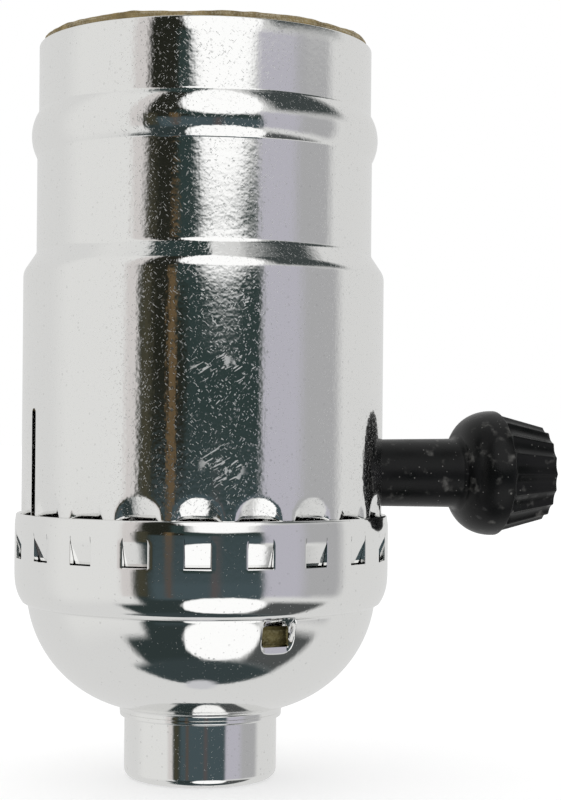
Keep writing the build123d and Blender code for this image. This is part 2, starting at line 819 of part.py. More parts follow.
# Centre rivet: joins the centre contact and the upper contact through the boss
contact_top = boss_top + leaf
with BuildPart() as centre_rivet:
    with BuildSketch(Plane.XY.offset(upper_leaf_height)):
        with Locations(centre_rivet_place):
            Circle(centre_rivet_radius)
    extrude(amount=contact_top - upper_leaf_height)
    with BuildSketch(Plane.XY.offset(contact_top)):
        with Locations(centre_rivet_place):
            Circle(centre_rivet_head_radius)
    extrude(amount=rivet_head)
    chamfer(centre_rivet.edges().group_by(Axis.Z)[-1], rivet_chamfer)
    with BuildSketch(Plane.XY.offset(upper_leaf_height)):
        with Locations(centre_rivet_place):
            Circle(centre_rivet_head_radius)
    extrude(amount=-rivet_head)
    chamfer(centre_rivet.edges().group_by(Axis.Z)[0], rivet_chamfer)
write(centre_rivet, "centre_rivet")

# Hot terminal: an upright plate with the lower contact leaf bent inward from it
with BuildPart() as hot_terminal:
    with BuildSketch(radial_plane(-90, recess_floor)) as face:
        with Locations((0, plate_bottom)):
            Rectangle(plate_width, plate_top - plate_bottom, align=(Align.CENTER, Align.MIN))
        fillet(face.vertices().sort_by(Axis.Y)[-2:], plate_corner)
        with Locations((contact_start, plate_bottom)):
            Rectangle(
                contact_width,
                leaf_under - leaf - plate_bottom,
                align=(Align.MIN, Align.MIN),
                mode=Mode.SUBTRACT,
            )
        with Locations((0, terminal_screw_height)):
            Circle(screw_shank_radius + clearance, mode=Mode.SUBTRACT)
    extrude(amount=plate)
    with BuildSketch(Plane.XY.offset(leaf_under - leaf)):
        with Locations((contact_middle, lower_contact_end)):
            Rectangle(contact_width, recess_floor + lower_contact_end, align=(Align.CENTER, Align.MAX))
    extrude(amount=leaf)
write(hot_terminal, "hot_terminal")

# Neutral terminal: an upright plate whose foot is riveted under the screw shell
with BuildPart() as neutral_terminal:
    with BuildSketch(radial_plane(90, recess_floor)):
        with Locations((0, plate_bottom)):
            Rectangle(plate_width, body_top - plate_bottom, align=(Align.CENTER, Align.MIN))
        with Locations((0, terminal_screw_height)):
            Circle(screw_shank_radius + clearance, mode=Mode.SUBTRACT)
    extrude(amount=plate)
    with BuildSketch(Plane.XY.offset(body_top - plate)):
        with Locations((0, foot_inner)):
            Rectangle(plate_width, plate_face - foot_inner, align=(Align.CENTER, Align.MIN))
        with Locations((0, neutral_rivet_place)):
            Circle(rivet_radius, mode=Mode.SUBTRACT)
    extrude(amount=plate)
    outer_bend = neutral_terminal.edges().filter_by(Axis.X).sort_by_distance((0, plate_face, body_top))[0]
    fillet(outer_bend, plate_corner)
write(neutral_terminal, "neutral_terminal")


def terminal_screw(side):
    """A slotted binding-head screw for the terminal at a polar angle."""
    with BuildPart() as form:
        with BuildSketch(radial_plane(side, plate_face, terminal_screw_height)):
            Circle(screw_head_radius)
        extrude(amount=screw_head)
        head_edge = form.edges().sort_by(Axis(origin=(0, 0, 0), direction=radial_plane(side).z_dir))[-1]
        chamfer(head_edge, edge_round)
        with BuildSketch(radial_plane(side, screw_shank_end, terminal_screw_height)):
            Circle(screw_shank_radius)
        extrude(amount=plate_face - screw_shank_end)
        with BuildSketch(radial_plane(side, plate_face + screw_head, terminal_screw_height)):
            Rectangle(2 * screw_head_radius, driver_slot)
        extrude(amount=-driver_slot_depth, mode=Mode.SUBTRACT)
    return form.part


with BuildPart() as hot_screw:
    add(terminal_screw(-90))
write(hot_screw, "hot_screw")

with BuildPart() as neutral_screw:
    add(terminal_screw(90))
write(neutral_screw, "neutral_screw")


def long_rivet(low, high):
    """A rivet on the Z axis that clamps what lies between two heights."""
    with BuildPart() as form:
        with BuildSketch(Plane.XY.offset(low)):
            Circle(rivet_radius)
        extrude(amount=high - low)
        with BuildSketch(Plane.XY.offset(high)):
            Circle(rivet_head_radius)
        extrude(amount=rivet_head)
        chamfer(form.edges().group_by(Axis.Z)[-1], rivet_chamfer)
        with BuildSketch(Plane.XY.offset(low)):
            Circle(rivet_head_radius)
        extrude(amount=-rivet_head)
        chamfer(form.edges().group_by(Axis.Z)[0], rivet_chamfer)
    return form.part


# Body rivets: two that clamp both moulded halves and the screw shell
floor_top = body_top + screw_wall
with BuildPart() as body_rivets:
    with Locations(*rivet_spots):
        add(long_rivet(body_foot, floor_top))
write(body_rivets, "body_rivets")

# Neutral rivet: clamps the neutral terminal's foot to the screw shell
with BuildPart() as neutral_rivet:
    with Locations((0, neutral_rivet_place)):
        add(long_rivet(neutral_rivet_seat, floor_top))
write(neutral_rivet, "neutral_rivet")

# Detent spring: a bridge of spring strip under the cam
with BuildPart() as detent_spring:
    with BuildSketch(Plane.YZ.offset(detent_middle)):
        with BuildLine():
            FilletPolyline(
                (-detent_reach + leaf / 2, detent_foot),
                (-detent_reach + leaf / 2, cam_leaf - leaf / 2),
                (detent_reach - leaf / 2, cam_leaf - leaf / 2),
                (detent_reach - leaf / 2, detent_foot),
                radius=leaf_bend,
            )
        trace(line_width=leaf)
    extrude(amount=detent_width / 2, both=True)
write(detent_spring, "detent_spring")

# Switch shaft: a turned rod with a squared middle, a thrust collar and a rear journal
shaft_steps = (
    (shaft_rear, rotor_rear, journal_radius),
    (cam_front, thrust_start, shaft_radius),
    (thrust_start, thrust_start + thrust_width, thrust_radius),
    (thrust_start + thrust_width, shaft_end, shaft_radius),
)
with BuildPart() as switch_shaft:
    for step_start, step_end, step_radius in shaft_steps:
        with BuildSketch(Plane.YZ.offset(step_start)):
            with Locations((0, body_split)):
                Circle(step_radius)
        extrude(amount=step_end - step_start)
    with BuildSketch(Plane.YZ.offset(rotor_rear)):
        with Locations((0, body_split)):
            Rectangle(shaft_square, shaft_square)
    extrude(amount=cam_front - rotor_rear)
write(switch_shaft, "switch_shaft")

# Rotor: an insulating drum on the shaft's squared part
with BuildPart() as rotor:
    with BuildSketch(Plane.YZ.offset(rotor_rear)):
        with Locations((0, body_split)):
            Circle(rotor_radius)
            Rectangle(shaft_square, shaft_square, mode=Mode.SUBTRACT)
    extrude(amount=rotor_front - rotor_rear)
write(rotor, "rotor")

# Rotor bridge: a strip over the drum that joins the two contacts once in each half turn
bridge_radius = rotor_radius + bridge_wall
bridge_half = bridge_radius * math.sin(math.radians(bridge_half_angle))
with BuildPart() as rotor_bridge:
    with BuildSketch(Plane.YZ.offset(rotor_rear - bridge_wall)):
        with Locations((0, body_split)):
            Circle(bridge_radius)
            Rectangle(2 * bridge_half, 2 * bridge_radius, mode=Mode.INTERSECT)
    extrude(amount=bridge_front - rotor_rear + bridge_wall)
    with BuildSketch(Plane.YZ.offset(rotor_rear)):
        with Locations((0, body_split)):
            Circle(rotor_radius)
    extrude(amount=bridge_front - rotor_rear, mode=Mode.SUBTRACT)
    with BuildSketch(Plane.YZ.offset(rotor_rear - bridge_wall)):
        with Locations((0, body_split)):
            Circle(journal_radius)
    extrude(amount=bridge_wall, mode=Mode.SUBTRACT)
write(rotor_bridge, "rotor_bridge")

# Detent cam: a square block with rounded corners on the same square
with BuildPart() as detent_cam:
    with BuildSketch(Plane.YZ.offset(cam_rear)):
        with Locations((0, body_split)):
            Circle(cam_corner)
            Rectangle(2 * cam_flat, 2 * cam_flat, mode=Mode.INTERSECT)
            Rectangle(shaft_square, shaft_square, mode=Mode.SUBTRACT)
    extrude(amount=cam_front - cam_rear)
write(detent_cam, "detent_cam")

# Knob: a turned stem and flange with a fluted, tapering grip
knob_axis = Axis(origin=(0, 0, body_split), direction=(1, 0, 0))
knob_section = Plane(origin=(0, 0, body_split), x_dir=(1, 0, 0), z_dir=(0, -1, 0))


def grip_section(place, ridge_radius):
    """The grip's outline at a place along the knob: hollows between sharp ridges."""
    step = 2 * math.pi / flute_count
    hollow_radius = ridge_radius * (1 - flute_depth / flute_start_radius)
    with BuildSketch(Plane.YZ.offset(place)) as outline:
        with Locations((0, body_split)):
            with BuildLine():
                for number in range(flute_count):
                    ends = [number * step, (number + 0.5) * step, (number + 1) * step]
                    reach = [ridge_radius, hollow_radius, ridge_radius]
                    points = [
                        (
                            distance * math.cos(turn),
                            body_split + distance * math.sin(turn),
                        )
                        for distance, turn in zip(reach, ends)
                    ]
                    ThreePointArc(*points)
        make_face()
    return outline.sketch


with BuildPart() as knob:
    with BuildSketch(knob_section) as section:
        with BuildLine():
            stem_line = Line((stem_start, stem_radius), (flange_start, stem_end_radius))
            swell = EllipticalCenterArc(
                (flange_peak, stem_end_radius),
                flange_peak - flange_start,
                knob_flange_radius - stem_end_radius,
                start_angle=quarter_turn,
                arc_size=quarter_turn,
            )
            Polyline(
                (flange_peak, knob_flange_radius),
                (flute_start - flange_fall, knob_flange_radius),
                (flute_start, flute_start_radius),
                (flute_start, 0),
                (stem_start, 0),
                (stem_start, stem_radius),
            )
        make_face()
        fillet(section.vertices().sort_by_distance((flange_start, stem_end_radius, 0))[0], stem_fillet)
    revolve(axis=knob_axis)
    add(
        [
            grip_section(flute_start, flute_start_radius),
            grip_section(knob_end, knob_end_radius),
        ]
    )
    loft(ruled=True)
    with BuildSketch(Plane.YZ.offset(stem_start)):
        with Locations((0, body_split)):
            Circle(knob_bore)
    extrude(amount=knob_bore_end - stem_start, mode=Mode.SUBTRACT)
write(knob, "knob")

# Knob insert: a brass tube moulded into the stem, screwed on the shaft's end
with BuildPart() as knob_insert:
    with BuildSketch(Plane.YZ.offset(insert_start)):
        with Locations((0, body_split)):
            Circle(knob_bore)
            Circle(shaft_radius, mode=Mode.SUBTRACT)
    extrude(amount=insert_end - insert_start)
write(knob_insert, "knob_insert")
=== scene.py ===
# %% [markdown]
# A turn-knob lamp socket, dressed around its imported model.
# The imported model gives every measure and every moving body, and stays as it is.
# This script adds the fine surfaces, the finishes, the light and the camera,
# one short cell after another, each with the reason for its choice.

# %% Load the fixed model
import math

import bmesh
import bpy
import numpy as np
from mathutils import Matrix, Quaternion, Vector


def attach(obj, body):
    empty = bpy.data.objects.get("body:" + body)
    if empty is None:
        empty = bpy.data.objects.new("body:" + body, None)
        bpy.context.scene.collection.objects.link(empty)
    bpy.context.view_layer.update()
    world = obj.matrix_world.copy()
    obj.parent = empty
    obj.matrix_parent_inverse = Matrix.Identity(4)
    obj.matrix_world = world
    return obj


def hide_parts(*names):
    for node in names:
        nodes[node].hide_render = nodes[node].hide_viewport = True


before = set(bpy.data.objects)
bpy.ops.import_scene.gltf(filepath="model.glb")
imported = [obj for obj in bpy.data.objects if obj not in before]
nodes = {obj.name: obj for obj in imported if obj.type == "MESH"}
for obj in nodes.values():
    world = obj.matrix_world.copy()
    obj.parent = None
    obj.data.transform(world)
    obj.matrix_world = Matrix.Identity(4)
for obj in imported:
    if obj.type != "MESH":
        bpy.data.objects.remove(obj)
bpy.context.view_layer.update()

MM = 0.001                   # metres

# %% [markdown]
# The part's own sizes, in millimetres, repeated from its source, except where a comment says otherwise.
# The fine meshes are worked out from them, and follow their solids to a few tenths of a millimetre.

# %% Sizes of the real pieces
SHEET = 0.4
BARREL_R, NECK_R, MOUTH_R, BEAD_R = 16.9, 15.7, 15.57, 16.4
SHELL_LOW, SHELL_TOP = 19.3, 68.2
SHOULDER_LOW, SHOULDER_HIGH = 47.1, 48.9
BEAD_LOW, BEAD_HIGH = 57.8, 62.0
CATCHES, CATCH_PHASE = 20, 3.75
CATCH_WIDE, CATCH_LOW, CATCH_HIGH, CATCH_PRESS, CATCH_GAP = 2.3, 20.7, 23.25, 0.6, 0.04
DENT_WIDE, DENT_DEEP, DENT_TOP = 4.2, 0.65, 26.9
SLIT_ANGLE, SLIT_WIDE, SLIT_TOP = 192.75, 0.9, 34.4
KNOB_Z = 28.6
STEM_SLOT = 3.8
CAP_R, CAP_TOP = 17.5, 24.75
LINER_R, LINER_BORE, LINER_LOW, LINER_TOP = 15.1, 14.3, 22.1, 69.0
print("catches every", 360 / CATCHES, "degrees")

# %% [markdown]
# Most pieces here are turned, drawn or rolled, so one helper serves them:
# it spins a closed section round an axis, as a lathe would, and may shift each point in or out.
# A shift that depends on angle and height gives dents, flutes and threads as true geometry,
# and a grid of points keeps the reflections of bright plate clean.

# %% Helper: smooth arcs and runs for a section
def run(start, end, steps):
    """Points from start to end, without the last one."""
    return [tuple(np.array(start) + (np.array(end) - np.array(start)) * i / steps) for i in range(steps)]


def arc(start, end, radius, steps, flip=False):
    """Points of the arc of that radius from start to end, without the last one."""
    a, b = np.array(start, float), np.array(end, float)
    half = (b - a) / 2
    reach = np.linalg.norm(half)
    side = np.array([half[1], -half[0]]) / reach * math.sqrt(max(radius * radius - reach * reach, 0))
    centre = a + half + (side if not flip else -side)
    first = math.atan2(*(a - centre)[::-1])
    turn = (math.atan2(*(b - centre)[::-1]) - first + math.pi) % (2 * math.pi) - math.pi
    angles = [first + turn * i / steps for i in range(steps)]
    return [(centre[0] + radius * math.cos(a), centre[1] + radius * math.sin(a)) for a in angles]


def rounded(points, radii, steps=6):
    """A polyline whose inner corners are rounded, one radius for each corner."""
    out = [tuple(points[0])]
    for k in range(1, len(points) - 1):
        p, q, r = (np.array(points[i], float) for i in (k - 1, k, k + 1))
        radius = radii[k - 1]
        u, v = (p - q) / np.linalg.norm(p - q), (r - q) / np.linalg.norm(r - q)
        bend = math.acos(float(np.clip(u @ v, -1, 1)))
        if radius <= 0 or bend > math.pi - 0.01:
            out.append(tuple(q))
            continue
        back = radius / math.tan(bend / 2)
        centre = q + (u + v) / np.linalg.norm(u + v) * radius / math.sin(bend / 2)
        a, b = q + u * back - centre, q + v * back - centre
        first = math.atan2(a[1], a[0])
        turn = (math.atan2(b[1], b[0]) - first + math.pi) % (2 * math.pi) - math.pi
        for i in range(steps + 1):
            angle = first + turn * i / steps
            out.append((centre[0] + radius * math.cos(angle), centre[1] + radius * math.sin(angle)))
    out.append(tuple(points[-1]))
    return out


# %% Helper: link a mesh as a smooth piece
def link_piece(name, verts, faces, sharp=35):
    mesh = bpy.data.meshes.new(name)
    mesh.from_pydata([tuple(v) for v in verts], [], faces)
    work = bmesh.new()
    work.from_mesh(mesh)
    bmesh.ops.remove_doubles(work, verts=work.verts, dist=1e-7)
    bmesh.ops.delete(work, geom=[v for v in work.verts if not v.link_faces], context="VERTS")
    bmesh.ops.recalc_face_normals(work, faces=work.faces)
    work.to_mesh(mesh)
    work.free()
    for face in mesh.polygons:
        face.use_smooth = True
    mesh.set_sharp_from_angle(angle=math.radians(sharp))
    piece = bpy.data.objects.new(name, mesh)
    bpy.context.scene.collection.objects.link(piece)
    return piece


# %% Helper: spin a closed section round an axis
def on_socket_axis(turn, radius, height):
    return radius * math.cos(turn) * MM, radius * math.sin(turn) * MM, height * MM


def on_knob_axis(turn, radius, along):
    return along * MM, radius * math.cos(turn) * MM, (KNOB_Z + radius * math.sin(turn)) * MM


def lathe(name, loop, columns, shift=None, place=on_socket_axis, sharp=35):
    """loop: closed section as (radius, height) in mm. shift(turn, radius, height, index) adds to a radius."""
    turns = np.arange(columns) * (2 * math.pi / columns)
    verts = []
    for index, (radius, height) in enumerate(loop):
        for turn in turns:
            verts.append(place(turn, radius + (shift(turn, radius, height, index) if shift else 0), height))
    faces = []
    rows = len(loop)
    for i in range(rows):
        k = (i + 1) % rows
        for j in range(columns):
            n = (j + 1) % columns
            faces.append((i * columns + j, i * columns + n, k * columns + n, k * columns + j))
    return link_piece(name, verts, faces, sharp)


# %% [markdown]
# The shell and the cap are sheet with openings. Their helper takes the outer face as rows of a section,
# moves it inward by the sheet's thickness for the inner face, leaves out the faces inside an opening,
# slides the grid points beside an opening onto its exact outline, and closes every edge with a wall.
# Near a lip the two faces draw together, which rounds the edge as rolling leaves it.

# %% Helper: a closed sheet with openings
WIDEST = 0.4                 # no opening reaches further from its middle, in radians


def sheet(name, section, turns, shift, openings, thick, lip=None, sharp=35):
    """openings: (angle, inside(y, z), snap(y, z) or None), with y across, square to that direction."""
    rows, count = len(section), len(turns)
    place = np.zeros((rows, count, 3))
    for i, (radius, height, _, _) in enumerate(section):
        for j, turn in enumerate(turns):
            place[i, j] = (turn, height, radius)
    kept = np.ones((rows - 1, count), bool)
    profile = ordered(section)
    for angle, inside, snap in openings:
        across = (turns - angle + math.pi) % (2 * math.pi) - math.pi
        removed = set()
        for j in [j for j in range(count) if abs(across[j]) < WIDEST]:
            n = (j + 1) % count
            middle = across[j] + ((across[n] - across[j] + math.pi) % (2 * math.pi) - math.pi) / 2
            for i in range(rows - 1):
                radius = (section[i][0] + section[i + 1][0]) / 2
                height = (section[i][1] + section[i + 1][1]) / 2
                if inside(radius * math.sin(middle), height):
                    kept[i, j] = False
                    removed.add((i, j))
        if snap is None:
            continue
        for i, j in removed:
            for a, b in ((i, j), (i, j + 1), (i + 1, j), (i + 1, j + 1)):
                b %= count
                around = [(a - 1, (b - 1) % count), (a - 1, b), (a, (b - 1) % count), (a, b)]
                if all(cell in removed or cell[0] < 0 or cell[0] > rows - 2 for cell in around):
                    continue
                radius = section[a][0]
                y, z = snap(radius * math.sin(across[b]), section[a][1])
                place[a, b] = (angle + math.asin(max(-1, min(1, y / radius))), z, np.interp(z, *profile))
    outer, inner = [], []
    for i in range(rows):
        out_r, out_z = section[i][2], section[i][3]
        for j in range(count):
            turn, height, radius = place[i, j]
            draw = lip(height) if lip else 0
            r = radius + shift(turn, height) - draw * out_r
            outer.append((r * math.cos(turn) * MM, r * math.sin(turn) * MM, height * MM))
            r -= (thick - 2 * draw) * out_r
            inner.append((r * math.cos(turn) * MM, r * math.sin(turn) * MM, (height - thick * out_z) * MM))
    half = rows * count
    faces = []
    for i in range(rows - 1):
        for j in range(count):
            if not kept[i, j]:
                continue
            n = (j + 1) % count
            a, b, c, d = i * count + j, i * count + n, (i + 1) * count + n, (i + 1) * count + j
            faces.append((a, b, c, d))
            faces.append((d + half, c + half, b + half, a + half))
            if i == 0 or not kept[i - 1, j]:
                faces.append((b, a, a + half, b + half))
            if i == rows - 2 or not kept[i + 1, j]:
                faces.append((d, c, c + half, d + half))
            if not kept[i, j - 1]:
                faces.append((a, d, d + half, a + half))
            if not kept[i, n]:
                faces.append((c, b, b + half, c + half))
    return link_piece(name, outer + inner, faces, sharp)


def ordered(section):
    """Heights and radii of a section, sorted for interpolation."""
    pairs = sorted((height, radius) for radius, height, _, _ in section)
    return [p[0] for p in pairs], [p[1] for p in pairs]


def with_normals(points, outward=1):
    """Adds to each (radius, height) the outward unit normal of the section there."""
    out = []
    for i, (r, z) in enumerate(points):
        a, b = points[max(i - 1, 0)], points[min(i + 1, len(points) - 1)]
        dr, dz = b[0] - a[0], b[1] - a[1]
        size = math.hypot(dr, dz) or 1
        out.append((r, z, outward * dz / size, -outward * dr / size))
    return out


def columns_near(base, *spots):
    """Angles for the columns: base ones all round, and others near (angle, offsets in degrees)."""
    turns = list(np.arange(0, 360, base))
    for angle, offsets in spots:
        turns = [t for t in turns if abs((t - angle + 180) % 360 - 180) > max(offsets) + base * 0.4]
        turns += list((angle + np.array(offsets)) % 360)
    return np.radians(np.array(sorted(turns)))


def lip_round(top, radius):
    """How far each face draws in, at a height near a rounded lip."""

    def draw(z):
        rise = z - top + radius
        return 0 if rise < 0 else radius - math.sqrt(max(radius**2 - rise**2, 0))

    return draw


# %% [markdown]
# Openings are stamped: a slit with a round end, a U-shaped slot and a small rounded window.
# Each one is told by a test for what lies inside it and by the nearest point on its outline.

# %% Helper: outlines of openings
def box_opening(angle, wide, low, high, corner):
    """A rounded rectangle, as (angle, inside, snap)."""
    middle = (low + high) / 2
    half = np.array([wide / 2 - corner, (high - low) / 2 - corner])

    def inside(y, z):
        q = np.abs((y, z - middle)) - half
        return math.hypot(max(q[0], 0), max(q[1], 0)) + min(max(q), 0) < corner

    def snap(y, z):
        p = np.array([y, z - middle])
        q = np.abs(p) - half
        sign = np.where(p < 0, -1, 1)
        if q[0] > 0 and q[1] > 0:
            q = q / np.hypot(*q) * corner
        elif q[0] > q[1]:
            q = np.array([corner, q[1]])
        else:
            q = np.array([q[0], corner])
        new = sign * (q + half)
        return new[0], new[1] + middle

    return math.radians(angle), inside, snap


def slot_opening(angle, half, centre):
    """A slot open at the bottom, with a half-round top of that half width about that height."""

    def inside(y, z):
        return abs(y) < half if z < centre else math.hypot(y, z - centre) < half

    def snap(y, z):
        if z < centre:
            return math.copysign(half, y), z
        size = math.hypot(y, z - centre) or 1
        return y / size * half, centre + (z - centre) / size * half

    return math.radians(angle), inside, snap


# %% [markdown]
# The shell is drawn from one flat disc. Its lower edge is pressed in at twenty places,
# so that it snaps behind the cap's catches. Each dent is a slanting press under an arch,
# so its face looks downward, and shows the light from below as a white spot.

# %% Shell: section and dents
half_wide = DENT_WIDE / 2
DENT_ARCH = 2.1              # height of the outline's arch
DENT_SLANT = 2.6             # the press reaches its full depth this far down
DENT_SIDE = 0.3              # share of the half width over which its sides slope
RIM_ROUND = 0.12             # of the sawn and drawn lips
BEAD_SOFTER = 0.18           # the bead's crown is a little flatter than its solid
CREASE = 0.08                # rows this close to a crease keep it crisp


def smooth(x):
    """From 0 to 1, without a kink at either end."""
    x = min(max(x, 0.0), 1.0)
    return x * x * (3 - 2 * x)


def off_catch(turn):
    """Angle from the nearest catch."""
    pitch = 2 * math.pi / CATCHES
    return (turn - math.radians(CATCH_PHASE) + pitch / 2) % pitch - pitch / 2


def dent_shift(turn, height):
    """A slanting press: an arch outline, deeper downward, and flat across its middle."""
    share = abs(off_catch(turn)) * BARREL_R / half_wide
    if share >= 1:
        return 0.0
    arch = DENT_TOP - DENT_ARCH * (1 - math.sqrt(1 - share**2))
    down = (arch - height) / (arch - SHELL_LOW)
    if down <= 0:
        return 0.0
    side = smooth((1 - share) / DENT_SIDE)
    return -DENT_DEEP * side * min(1.0, down * (arch - SHELL_LOW) / DENT_SLANT)


DENSE = (24.2, 28.0, 35.0)   # rows lie close together up to these heights, over the dents and the slit
SHOULDER_BENDS = [1.6, 0.7]  # radii at the shoulder's foot and top
corners = [(BARREL_R, DENSE[2]), (BARREL_R, SHOULDER_LOW), (NECK_R, SHOULDER_HIGH), (NECK_R, BEAD_LOW)]
bends = rounded(corners, SHOULDER_BENDS, 10)
bead_sag = BEAD_R - BEAD_SOFTER - (NECK_R + MOUTH_R) / 2
bead_radius = (((BEAD_HIGH - BEAD_LOW) / 2) ** 2 + bead_sag**2) / (2 * bead_sag)
line = []
for low, high, steps in ((SHELL_LOW, DENSE[0], 8), (DENSE[0], DENSE[1], 20), (DENSE[1], DENSE[2], 24)):
    line += run((BARREL_R, low), (BARREL_R, high), steps)
line += run((BARREL_R, DENSE[2]), bends[1], 6)
line += bends[1:-1] + run(bends[-2], (NECK_R, BEAD_LOW), 5)[1:] + [(NECK_R, BEAD_LOW - CREASE)]
line += arc((NECK_R, BEAD_LOW), (MOUTH_R, BEAD_HIGH), bead_radius, 30, flip=True)
line += [(MOUTH_R, BEAD_HIGH)] + run((MOUTH_R, BEAD_HIGH + CREASE), (MOUTH_R, SHELL_TOP - RIM_ROUND), 5)
line += [(MOUTH_R, SHELL_TOP - RIM_ROUND * (1 - math.sin(math.radians(a)))) for a in (0, 30, 50, 70, 90)]
shell_section = with_normals(line)
print("shell rows", len(shell_section))

# %% Shell: build
shell = sheet(
    "shell_plated",
    shell_section,
    columns_near(1.0, (SLIT_ANGLE, np.arange(-2, 2.01, 0.25))),
    dent_shift,
    [slot_opening(0, STEM_SLOT, KNOB_Z), slot_opening(SLIT_ANGLE, SLIT_WIDE / 2, SLIT_TOP - SLIT_WIDE / 2)],
    SHEET,
    lip_round(SHELL_TOP, RIM_ROUND),
)
print("shell faces", len(shell.data.polygons))

# %% [markdown]
# The cap is a deeper draw: a straight band with the catches, a small tuck and step, and the dome.
# Each catch is a tab, cut free on three sides and pressed in, so it hangs from a soft bend at its top.
# Grid lines run along every cut, and the faces in the cut are left out, so the tab stays one with the band.
# The metal beside a cut is drawn down a little, which gives the fine bright line along stamped edges.

# %% Cap: sizes
DOME_R, LEDGE_OUT, LEDGE_IN = 11.5, (16.75, 16.5), (16.25, 16.2)
COLLAR_R, COLLAR_LOW, COLLAR_TOP = 7.6, 6.3, 6.75
HUB_NECK_R, STAKE_R = 6.2, 7.0
LIP_TURN, LIP_LOW, LIP_ROUND = 0.12, 23.75, 0.15
LEDGE_ROUND = 0.1
BAND_FOOT = 18.0             # the catches lie above this height, and the scoop below it
TUCK_START, TUCK_POWER = 19.85, 3.1  # the band tucks in from this height down, slowly at first
SCOOP_ANGLE, SCOOP_WIDE, SCOOP_LOW, SCOOP_FLOOR = -78.1, 3.25, 12.6, 15.3  # the solid's floor is at 14.9
SCOOP_EDGE, SCOOP_FADE = 0.34, 0.9  # width of its side walls, and height of its sloping top
SCOOP_REACH = 0.3            # in radians, to each side
HOLE_WIDE, HOLE_LOW, HOLE_HIGH, HOLE_CORNER = 2.4, 13.85, 15.55, 0.2
HOLE_DROP = 0.15             # the fine hole's lower edge, below its solid's
HOLE_SPREAD = 0.17           # and it is this much wider, from wall to wall
TAB_BEND = 0.22              # share of the tab that is its soft bend
TAB_HINGE = 0.2              # height of band above a window where its sides draw nothing down
CUT_DRAW, CUT_REACH = 0.035, 0.11  # how far the metal beside a cut is drawn down, and over what width
HAIR = 0.01                  # keeps points on a limit on the side meant


def near_cut(y, z):
    """Distance outside a catch's cut, negative inside, by its straight sides."""
    return max(abs(y) - CATCH_WIDE / 2, CATCH_LOW - z, z - CATCH_HIGH)


def cap_shift(turn, height):
    """Presses in the tabs and the scoop, and draws down the edges of the cuts."""
    if height > BAND_FOOT:
        y = CAP_R * math.sin(off_catch(turn))
        if abs(y) < CATCH_WIDE / 2 - CATCH_GAP + HAIR and CATCH_LOW + CATCH_GAP - HAIR < height < CATCH_HIGH:
            down = (CATCH_HIGH - height) / (CATCH_HIGH - CATCH_LOW - CATCH_GAP)
            fall = down * down / (2 * TAB_BEND) if down < TAB_BEND else down - TAB_BEND / 2
            return -CATCH_PRESS * fall / (1 - TAB_BEND / 2)
        gone = near_cut(y, height)
        if height > CATCH_HIGH - TAB_HINGE or gone < -HAIR:
            return 0.0
        return -CUT_DRAW * max(0.0, 1 - gone / CUT_REACH) ** 2
    off = (turn - math.radians(SCOOP_ANGLE) + math.pi) % (2 * math.pi) - math.pi
    if abs(off) > SCOOP_REACH or height < SCOOP_LOW - SCOOP_EDGE:
        return 0.0
    surface = np.interp(height, *cap_profile)
    y = surface * math.sin(off)
    half = SCOOP_WIDE / 2 - SCOOP_EDGE
    bottom = SCOOP_LOW + SCOOP_WIDE / 2
    aside = abs(y) - half if height > bottom else math.hypot(y, height - bottom) - half
    press = smooth(1 - aside / SCOOP_EDGE) * smooth((LEDGE_IN[1] + LEDGE_ROUND - height) / SCOOP_FADE)
    return -press * max(0.0, surface - SCOOP_FLOOR / math.cos(off))


# %% Cap: section
lean = LIP_TURN / (CAP_TOP - LIP_LOW)
lip_heights = [CAP_TOP - LIP_ROUND * (1 - math.sin(math.radians(a))) for a in (90, 65, 45, 25, 0)]
lip_heights += [24.35, 24.1, 23.9]
cap_line = [(CAP_R - lean * (z - LIP_LOW), z) for z in lip_heights] + [(CAP_R, LIP_LOW), (CAP_R, 23.5)]
cap_line += run((CAP_R, CATCH_HIGH), (CAP_R, CATCH_LOW + CATCH_GAP), 14)
cap_line += [(CAP_R, z) for z in (CATCH_LOW + CATCH_GAP, CATCH_LOW, 20.65, CATCH_LOW - CUT_REACH, 20.3, 19.9)]
tuck_heights = np.linspace(TUCK_START, LEDGE_OUT[1], 24)
tuck_shares = ((TUCK_START - tuck_heights) / (TUCK_START - LEDGE_OUT[1])) ** TUCK_POWER
tuck_radii = CAP_R - (CAP_R - LEDGE_OUT[0]) * tuck_shares
cap_line += list(zip(tuck_radii, tuck_heights))[1:]
dome_start = (16.13, 15.75)
cap_line += rounded([LEDGE_OUT, LEDGE_IN, dome_start], [0.12], 4)[:-1]
cap_line += arc(cap_line[-1], (COLLAR_R, COLLAR_TOP), DOME_R, 72)[1:-2]
cap_line += rounded([cap_line[-1], (COLLAR_R, COLLAR_TOP), (COLLAR_R, COLLAR_LOW)], [0.25], 5)[1:]
cap_line += [(STAKE_R, COLLAR_LOW), (HUB_NECK_R, COLLAR_LOW)]
cap_section = with_normals(cap_line, -1)
cap_profile = ordered(cap_section)
print("cap rows", len(cap_section))

# %% Cap: build
tab_marks = [math.degrees(math.asin(y / CAP_R)) for y in (0.0, 0.4, 0.8, 1.11, 1.15, 1.19, 1.26, 1.7, 2.2)]
catch_offsets = sorted({s * m for m in tab_marks for s in (-1, 1)})
cap_turns = columns_near(
    1.0,
    *[(CATCH_PHASE + k * 360 / CATCHES, catch_offsets) for k in range(CATCHES)],
)
scoop_turns = np.radians((SCOOP_ANGLE + np.arange(-8.5, 8.6, 0.35)) % 360)
apart = np.abs((scoop_turns[:, None] - cap_turns[None, :] + math.pi) % (2 * math.pi) - math.pi).min(axis=1)
cap_turns = np.array(sorted([*cap_turns, *scoop_turns[apart > math.radians(0.12)]]))


